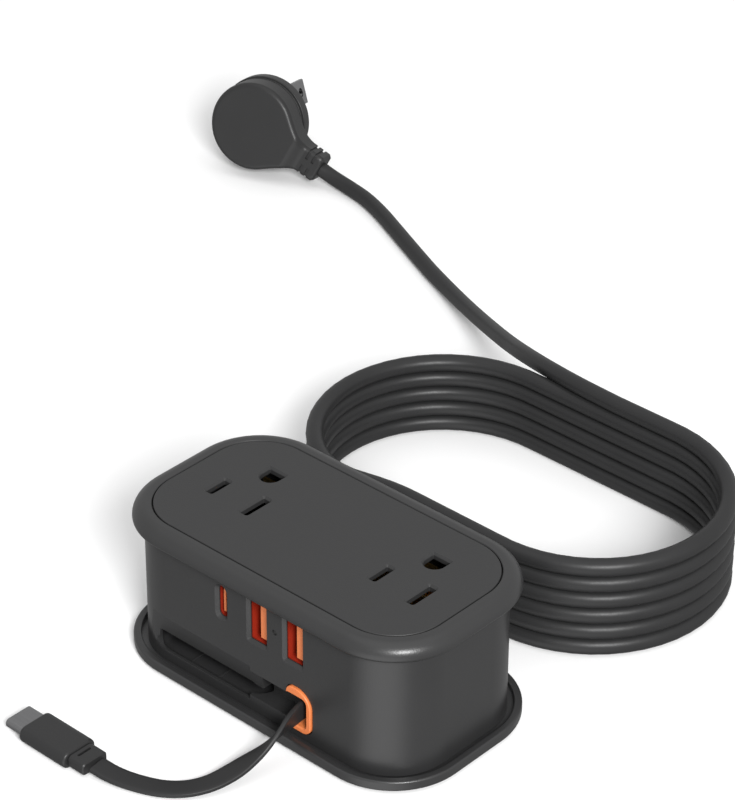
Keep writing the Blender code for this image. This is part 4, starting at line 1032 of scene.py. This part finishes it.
def cover_outline(inset):
    """Plan of the cover drawn in by an inset: neck, hollow shoulders and disc."""
    disc = PLUG_COVER_R - inset
    half = NECK_HALF - inset
    shoulder = Vector((disc * math.cos(SHOULDER), disc * math.sin(SHOULDER)))
    neck = Vector((NECK_FROM, half))
    control = Vector((shoulder.x + (shoulder.y - half) * math.tan(SHOULDER), half))
    end = NECK_END - inset / 2
    corner = 0.0009
    points = [(end, half - corner), (end - corner, half)]
    points += [(end - corner - (end - corner - NECK_FROM) * k / 6, half) for k in range(1, 6)]
    for step in range(14):
        t = step / 14
        spot = neck * (1 - t) ** 2 + control * (2 * t * (1 - t)) + shoulder * t ** 2
        points.append((spot.x, spot.y))
    points += arc((0.0, 0.0), disc, SHOULDER / (math.pi / 2), 2, 36)[:-1]
    return points + [(-disc, 0.0)] + [(x, -y) for x, y in reversed(points)]


def cover_height(spot, low):
    """Height of a spot of the cover: the neck is thinner than the disc."""
    share = ease(spot.x, PLUG_COVER_R, NECK_FROM)
    neck = NECK_Z[0] + (NECK_Z[1] - NECK_Z[0]) * (spot.z - low) / (PLUG_THICK - low)
    return spot.z + (neck - spot.z) * share


def add_cover(at):
    """Cover with a rounded top, thinned towards the neck."""
    low = PLUG_BASE + 0.0002
    edge = 0.0003
    shape = [(edge, low), (0.0, low + edge)]
    shape += arc((PLUG_BEVEL, PLUG_THICK - PLUG_BEVEL), -PLUG_BEVEL, 0, 1, 10, PLUG_BEVEL)
    mesh = ring_sweep([[(x, y, z) for x, y in cover_outline(inset)] for inset, z in shape])
    cuts = 12
    for k in range(cuts + 1):
        place = PLUG_COVER_R + (NECK_FROM - PLUG_COVER_R) * k / cuts
        bmesh.ops.bisect_plane(mesh, geom=whole(mesh), plane_co=(place, 0, 0), plane_no=(1, 0, 0))
    for vert in mesh.verts:
        vert.co.z = cover_height(vert.co, low)
    mesh.transform(at)
    cover = as_object("plug_body", mesh)
    carve(cover, neck_grooves(at @ Matrix.Translation((0, 0, sum(NECK_Z) / 2)) @ TO_SIDE))
    soften(cover, 0.00012, 2, 40.0)
    dress(cover, grip_plastic(), ["plug_cover"], angle=40.0)


def neck_grooves(turn):
    """Two grooves round the neck, bridged in the middle of each face."""
    deep = 0.0005
    wide = 0.0009
    bridge = 0.0011
    core = (NECK_HALF - 2 * deep, (NECK_Z[1] - NECK_Z[0]) / 2 - 2 * deep)
    for low in NECK_GROOVES:
        levels = [(deep, low), (4 * deep, low), (4 * deep, low + wide), (deep, low + wide)]
        for side in (-1, 1):
            groove = clip(outline_sweep(core, levels, 6, closed=True), 0, side * bridge, -side)
            groove.transform(turn)
            yield groove


def add_prongs(at):
    """Two pierced blades and a round earth pin."""
    turn = at @ Matrix.Rotation(EARTH_TURN, 4, "Z")
    steel = plated_metal()
    for name, (width, side) in BLADES.items():
        x, y = -PATTERN_SHIFT, side * BLADE_GAP / 2
        low = (x - width / 2, y - BLADE_THICK / 2, -BLADE_LENGTH)
        high = (x + width / 2, y + BLADE_THICK / 2, BLADE_SEAT)
        blade = as_object(f"plug_blade_{name}", box(low, high, turn))
        soften(blade, 0.0004, 3)
        hole = Matrix.Translation((x, y, 1.5 * EARTH_R - BLADE_LENGTH)) @ TO_FRONT
        carve(blade, [bar(BLADE_HOLE_R, -PAST, PAST, 24, turn @ hole)])
        dress(blade, steel, [f"plug_{name}_blade"])
    tip = 0.0020
    nose = arc((EARTH_PIN_R - tip, tip - EARTH_PIN_LENGTH), tip, -1, 0, 8)
    profile = [(0.0, -EARTH_PIN_LENGTH), *nose, (EARTH_PIN_R, BLADE_SEAT), (0.0, BLADE_SEAT)]
    spot = turn @ Matrix.Translation((EARTH_OFFSET - PATTERN_SHIFT, 0, 0))
    pin = as_object("plug_earth", spun(profile, 32, spot))
    dress(pin, steel, ["plug_earth_pin"])


class STRIP_OT_plug(bpy.types.Operator):
    """Flat round plug: base disc, cover with its neck, blades and earth pin."""

    bl_idname = "strip.plug"
    bl_label = "Plug"

    def execute(self, context):
        at = plug_turn()
        add_disc(at)
        add_cover(at)
        add_prongs(at)
        return {"FINISHED"}


def flat_strip(route, width, thick):
    """A flat strip with round edges that leaves its mouth on edge and turns to lie flat."""
    count = 24
    loops = []
    for i, point in enumerate(route):
        ahead = route[min(i + 1, len(route) - 1)] - route[max(i - 1, 0)]
        turn = math.pi / 2 * ease(i / (len(route) - 1), *CABLE_TWIST)
        flat = ahead.cross(Vector((0, 0, 1))).normalized()
        side = Vector((0, 0, 1)) * math.cos(turn) - flat * math.sin(turn)
        side = (side - side.project(ahead)).normalized()
        across = ahead.cross(side).normalized()
        spots = [strip_section(k / count, width, thick) for k in range(count)]
        loops.append([point + side * u + across * v for u, v in spots])
    return ring_sweep(loops)


def strip_section(share, width, thick):
    """A point of the strip's section: flat faces and softly rounded edges."""
    angle = math.tau * share
    c, s = math.cos(angle), math.sin(angle)
    power = 0.45
    u = width / 2 * math.copysign(abs(c) ** power, c)
    v = thick / 2 * math.copysign(abs(s) ** power, s)
    return u, v


def add_connector():
    """Strain relief, grip, metal tip and its tongue, one after the other towards -X."""
    x, y, z = CONNECTOR_AT
    centre = (0.0, y, z)
    moulding = grip_plastic()
    length, width, thick = RELIEF
    edge = 0.0003
    tail = x - length
    levels = [(0.0, tail), (0.0, x - edge), (-edge, x)]
    relief = as_object("connector_collar", flared((width, thick), 0.0012, centre, levels, 8, TO_SIDE))
    levels = [(0.0, thick / 2 - RELIEF_SLOT[1]), (0.0, thick)]
    across = Matrix.Rotation(math.pi / 2, 4, "Z")
    carve(relief, [flared(RELIEF_SLOT, edge, (tail + 0.0014, y, z), levels, 4, across)])
    soften(relief, 0.0001)
    dress(relief, moulding, ["connector_relief"])
    x = tail - FIT
    length, width, thick = GRIP
    edge = 0.0007
    levels = [*arc((-edge, x - length + edge), edge, -1, 0, 5),
              *arc((-edge, x - edge), edge, 0, 1, 5)]
    grip = as_object("connector_body", flared((width, thick), 0.0021, centre, levels, 10, TO_SIDE))
    x -= length
    length, width, thick = TIP
    corner = thick / 2 - 0.0001
    levels = [(FIT / 2, x - PAST), (FIT / 2, x + TIP_SEAT + FIT)]
    carve(grip, [flared((width, thick), corner, centre, levels, 8, TO_SIDE)])
    dress(grip, moulding, ["connector_grip"])
    wall, edge = 0.0003, 0.00015
    end = x + TIP_SEAT - length
    levels = [(0.0, x + TIP_SEAT), (0.0, end + edge), (-edge, end), (-wall, end), (-wall, x)]
    tip = as_object("connector_shell", flared((width, thick), corner, centre, levels, 10, TO_SIDE))
    dress(tip, plated_metal(), ["connector_tip"])
    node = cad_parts["connector_tongue"]
    paint(node, black_resin())
    return [relief, grip, tip, node]


class STRIP_OT_flat_cable(bpy.types.Operator):
    """Flat cable from its mouth to the floor, with the connector on its end."""

    bl_idname = "strip.flat_cable"
    bl_label = "Flat Cable"

    def execute(self, context):
        settings = context.scene.strip_cord
        pieces = add_connector()
        route = smooth_route(CABLE_ROUTE, 0.0012)
        cable = as_object("flat_cable", flat_strip(route, settings.cable_width, settings.cable_thickness))
        dress(cable, jacket_rubber(), ["usb_cable"], angle=50.0)
        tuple(route[0])
        length_of(route)
        return {"FINISHED"}


def studio_world():
    """Even light from all round, dimmer from below, with soft glows low in front and overhead."""
    world = bpy.data.worlds.new("studio")
    world.use_nodes = True
    tree = world.node_tree
    place = add_node(tree, "ShaderNodeTexCoord", {}).outputs["Generated"]
    strength = 0.0
    for direction, near, far, low, high in SURROUND:
        facing = vector_node(tree, "DOT_PRODUCT", {0: place, 1: direction}, "Value")
        inputs = {"Value": facing, "From Min": near, "From Max": far, "To Min": low, "To Max": high}
        level = add_node(tree, "ShaderNodeMapRange", inputs, interpolation_type="SMOOTHSTEP")
        strength = math_node(tree, "ADD", strength, level.outputs["Result"])
    feed(tree, tree.nodes["Background"], {"Color": (1.0, 1.0, 1.0, 1.0), "Strength": strength})
    return world


def add_lamp():
    """A key light from the right, aimed at the strip."""
    data = bpy.data.lights.new("key", "AREA")
    data.size = 0.40
    data.energy = 24.0
    lamp = linked("key", data)
    lamp.location = (0.96, -0.62, 0.80)
    aim = Vector((0.0, 0.0, 0.02)) - lamp.location
    lamp.rotation_euler = aim.to_track_quat("-Z", "Y").to_euler()


def fitted_camera():
    """The camera fitted to the picture."""
    data = bpy.data.cameras.new("camera")
    width, height = IMAGE_SIZE
    data.sensor_width = SENSOR
    data.lens = FOCAL * SENSOR / height
    data.shift_x = (width / 2 - IMAGE_MIDDLE[0]) / height
    data.shift_y = (IMAGE_MIDDLE[1] - height / 2) / height
    camera = linked("camera", data)
    right = Vector(CAMERA_RIGHT).normalized()
    back = Vector(CAMERA_BACK).normalized()
    turn = Matrix((right, back.cross(right), back)).transposed()
    camera.matrix_world = Matrix.Translation(CAMERA_AT) @ turn.to_4x4()
    return camera


class STRIP_OT_stage(bpy.types.Operator):
    """Pale floor, soft studio light and the camera."""

    bl_idname = "strip.stage"
    bl_label = "Stage"

    def execute(self, context):
        scene = context.scene
        scene.view_settings.view_transform = "Standard"
        mesh = bmesh.new()
        bmesh.ops.create_grid(mesh, x_segments=1, y_segments=1, size=6.0)
        floor = as_object("floor", mesh)
        floor.data.materials.append(plastic("pale_floor", (0.94, 0.94, 0.94), 0.6, bump=0.0, mottle=0.01))
        floor.visible_diffuse = False
        floor.visible_glossy = False
        scene.world = studio_world()
        add_lamp()
        scene.camera = fitted_camera()
        return {"FINISHED"}


OPERATORS = (
    STRIP_OT_shell, STRIP_OT_panel, STRIP_OT_base, STRIP_OT_mouth, STRIP_OT_inside, STRIP_OT_plug,
    STRIP_OT_mains_cord, STRIP_OT_flat_cable, STRIP_OT_stage,
)


class STRIP_PT_sidebar(bpy.types.Panel):
    """Lists the pieces of the power strip and the sizes and colours they use."""

    bl_idname = "STRIP_PT_sidebar"
    bl_label = "Power Strip"
    bl_space_type = "VIEW_3D"
    bl_region_type = "UI"
    bl_category = "Power Strip"

    def draw(self, context):
        for setting in SETTINGS:
            group = getattr(context.scene, setting)
            rows = self.layout.box()
            for name in group.__annotations__:
                rows.prop(group, name)
        for operator in OPERATORS:
            self.layout.operator(operator.bl_idname)


SETTINGS = {
    "strip_body": StripBodySettings, "strip_cord": StripCordSettings, "strip_finish": StripFinishSettings,
}


def register():
    """Adds the settings, operators and sidebar panel."""
    for group in SETTINGS.values():
        bpy.utils.register_class(group)
    for name, group in SETTINGS.items():
        setattr(bpy.types.Scene, name, PointerProperty(type=group))
    for operator in OPERATORS:
        bpy.utils.register_class(operator)
    bpy.utils.register_class(STRIP_PT_sidebar)


def unregister():
    """Removes the panel, operators and settings."""
    bpy.utils.unregister_class(STRIP_PT_sidebar)
    for operator in reversed(OPERATORS):
        bpy.utils.unregister_class(operator)
    for name in SETTINGS:
        delattr(bpy.types.Scene, name)
    for group in reversed(SETTINGS.values()):
        bpy.utils.unregister_class(group)


def main():
    """Builds every piece through its operator."""
    register()
    for operator in OPERATORS:
        group, name = operator.bl_idname.split(".")
        getattr(getattr(bpy.ops, group), name)()


if __name__ == "__main__":
    main()
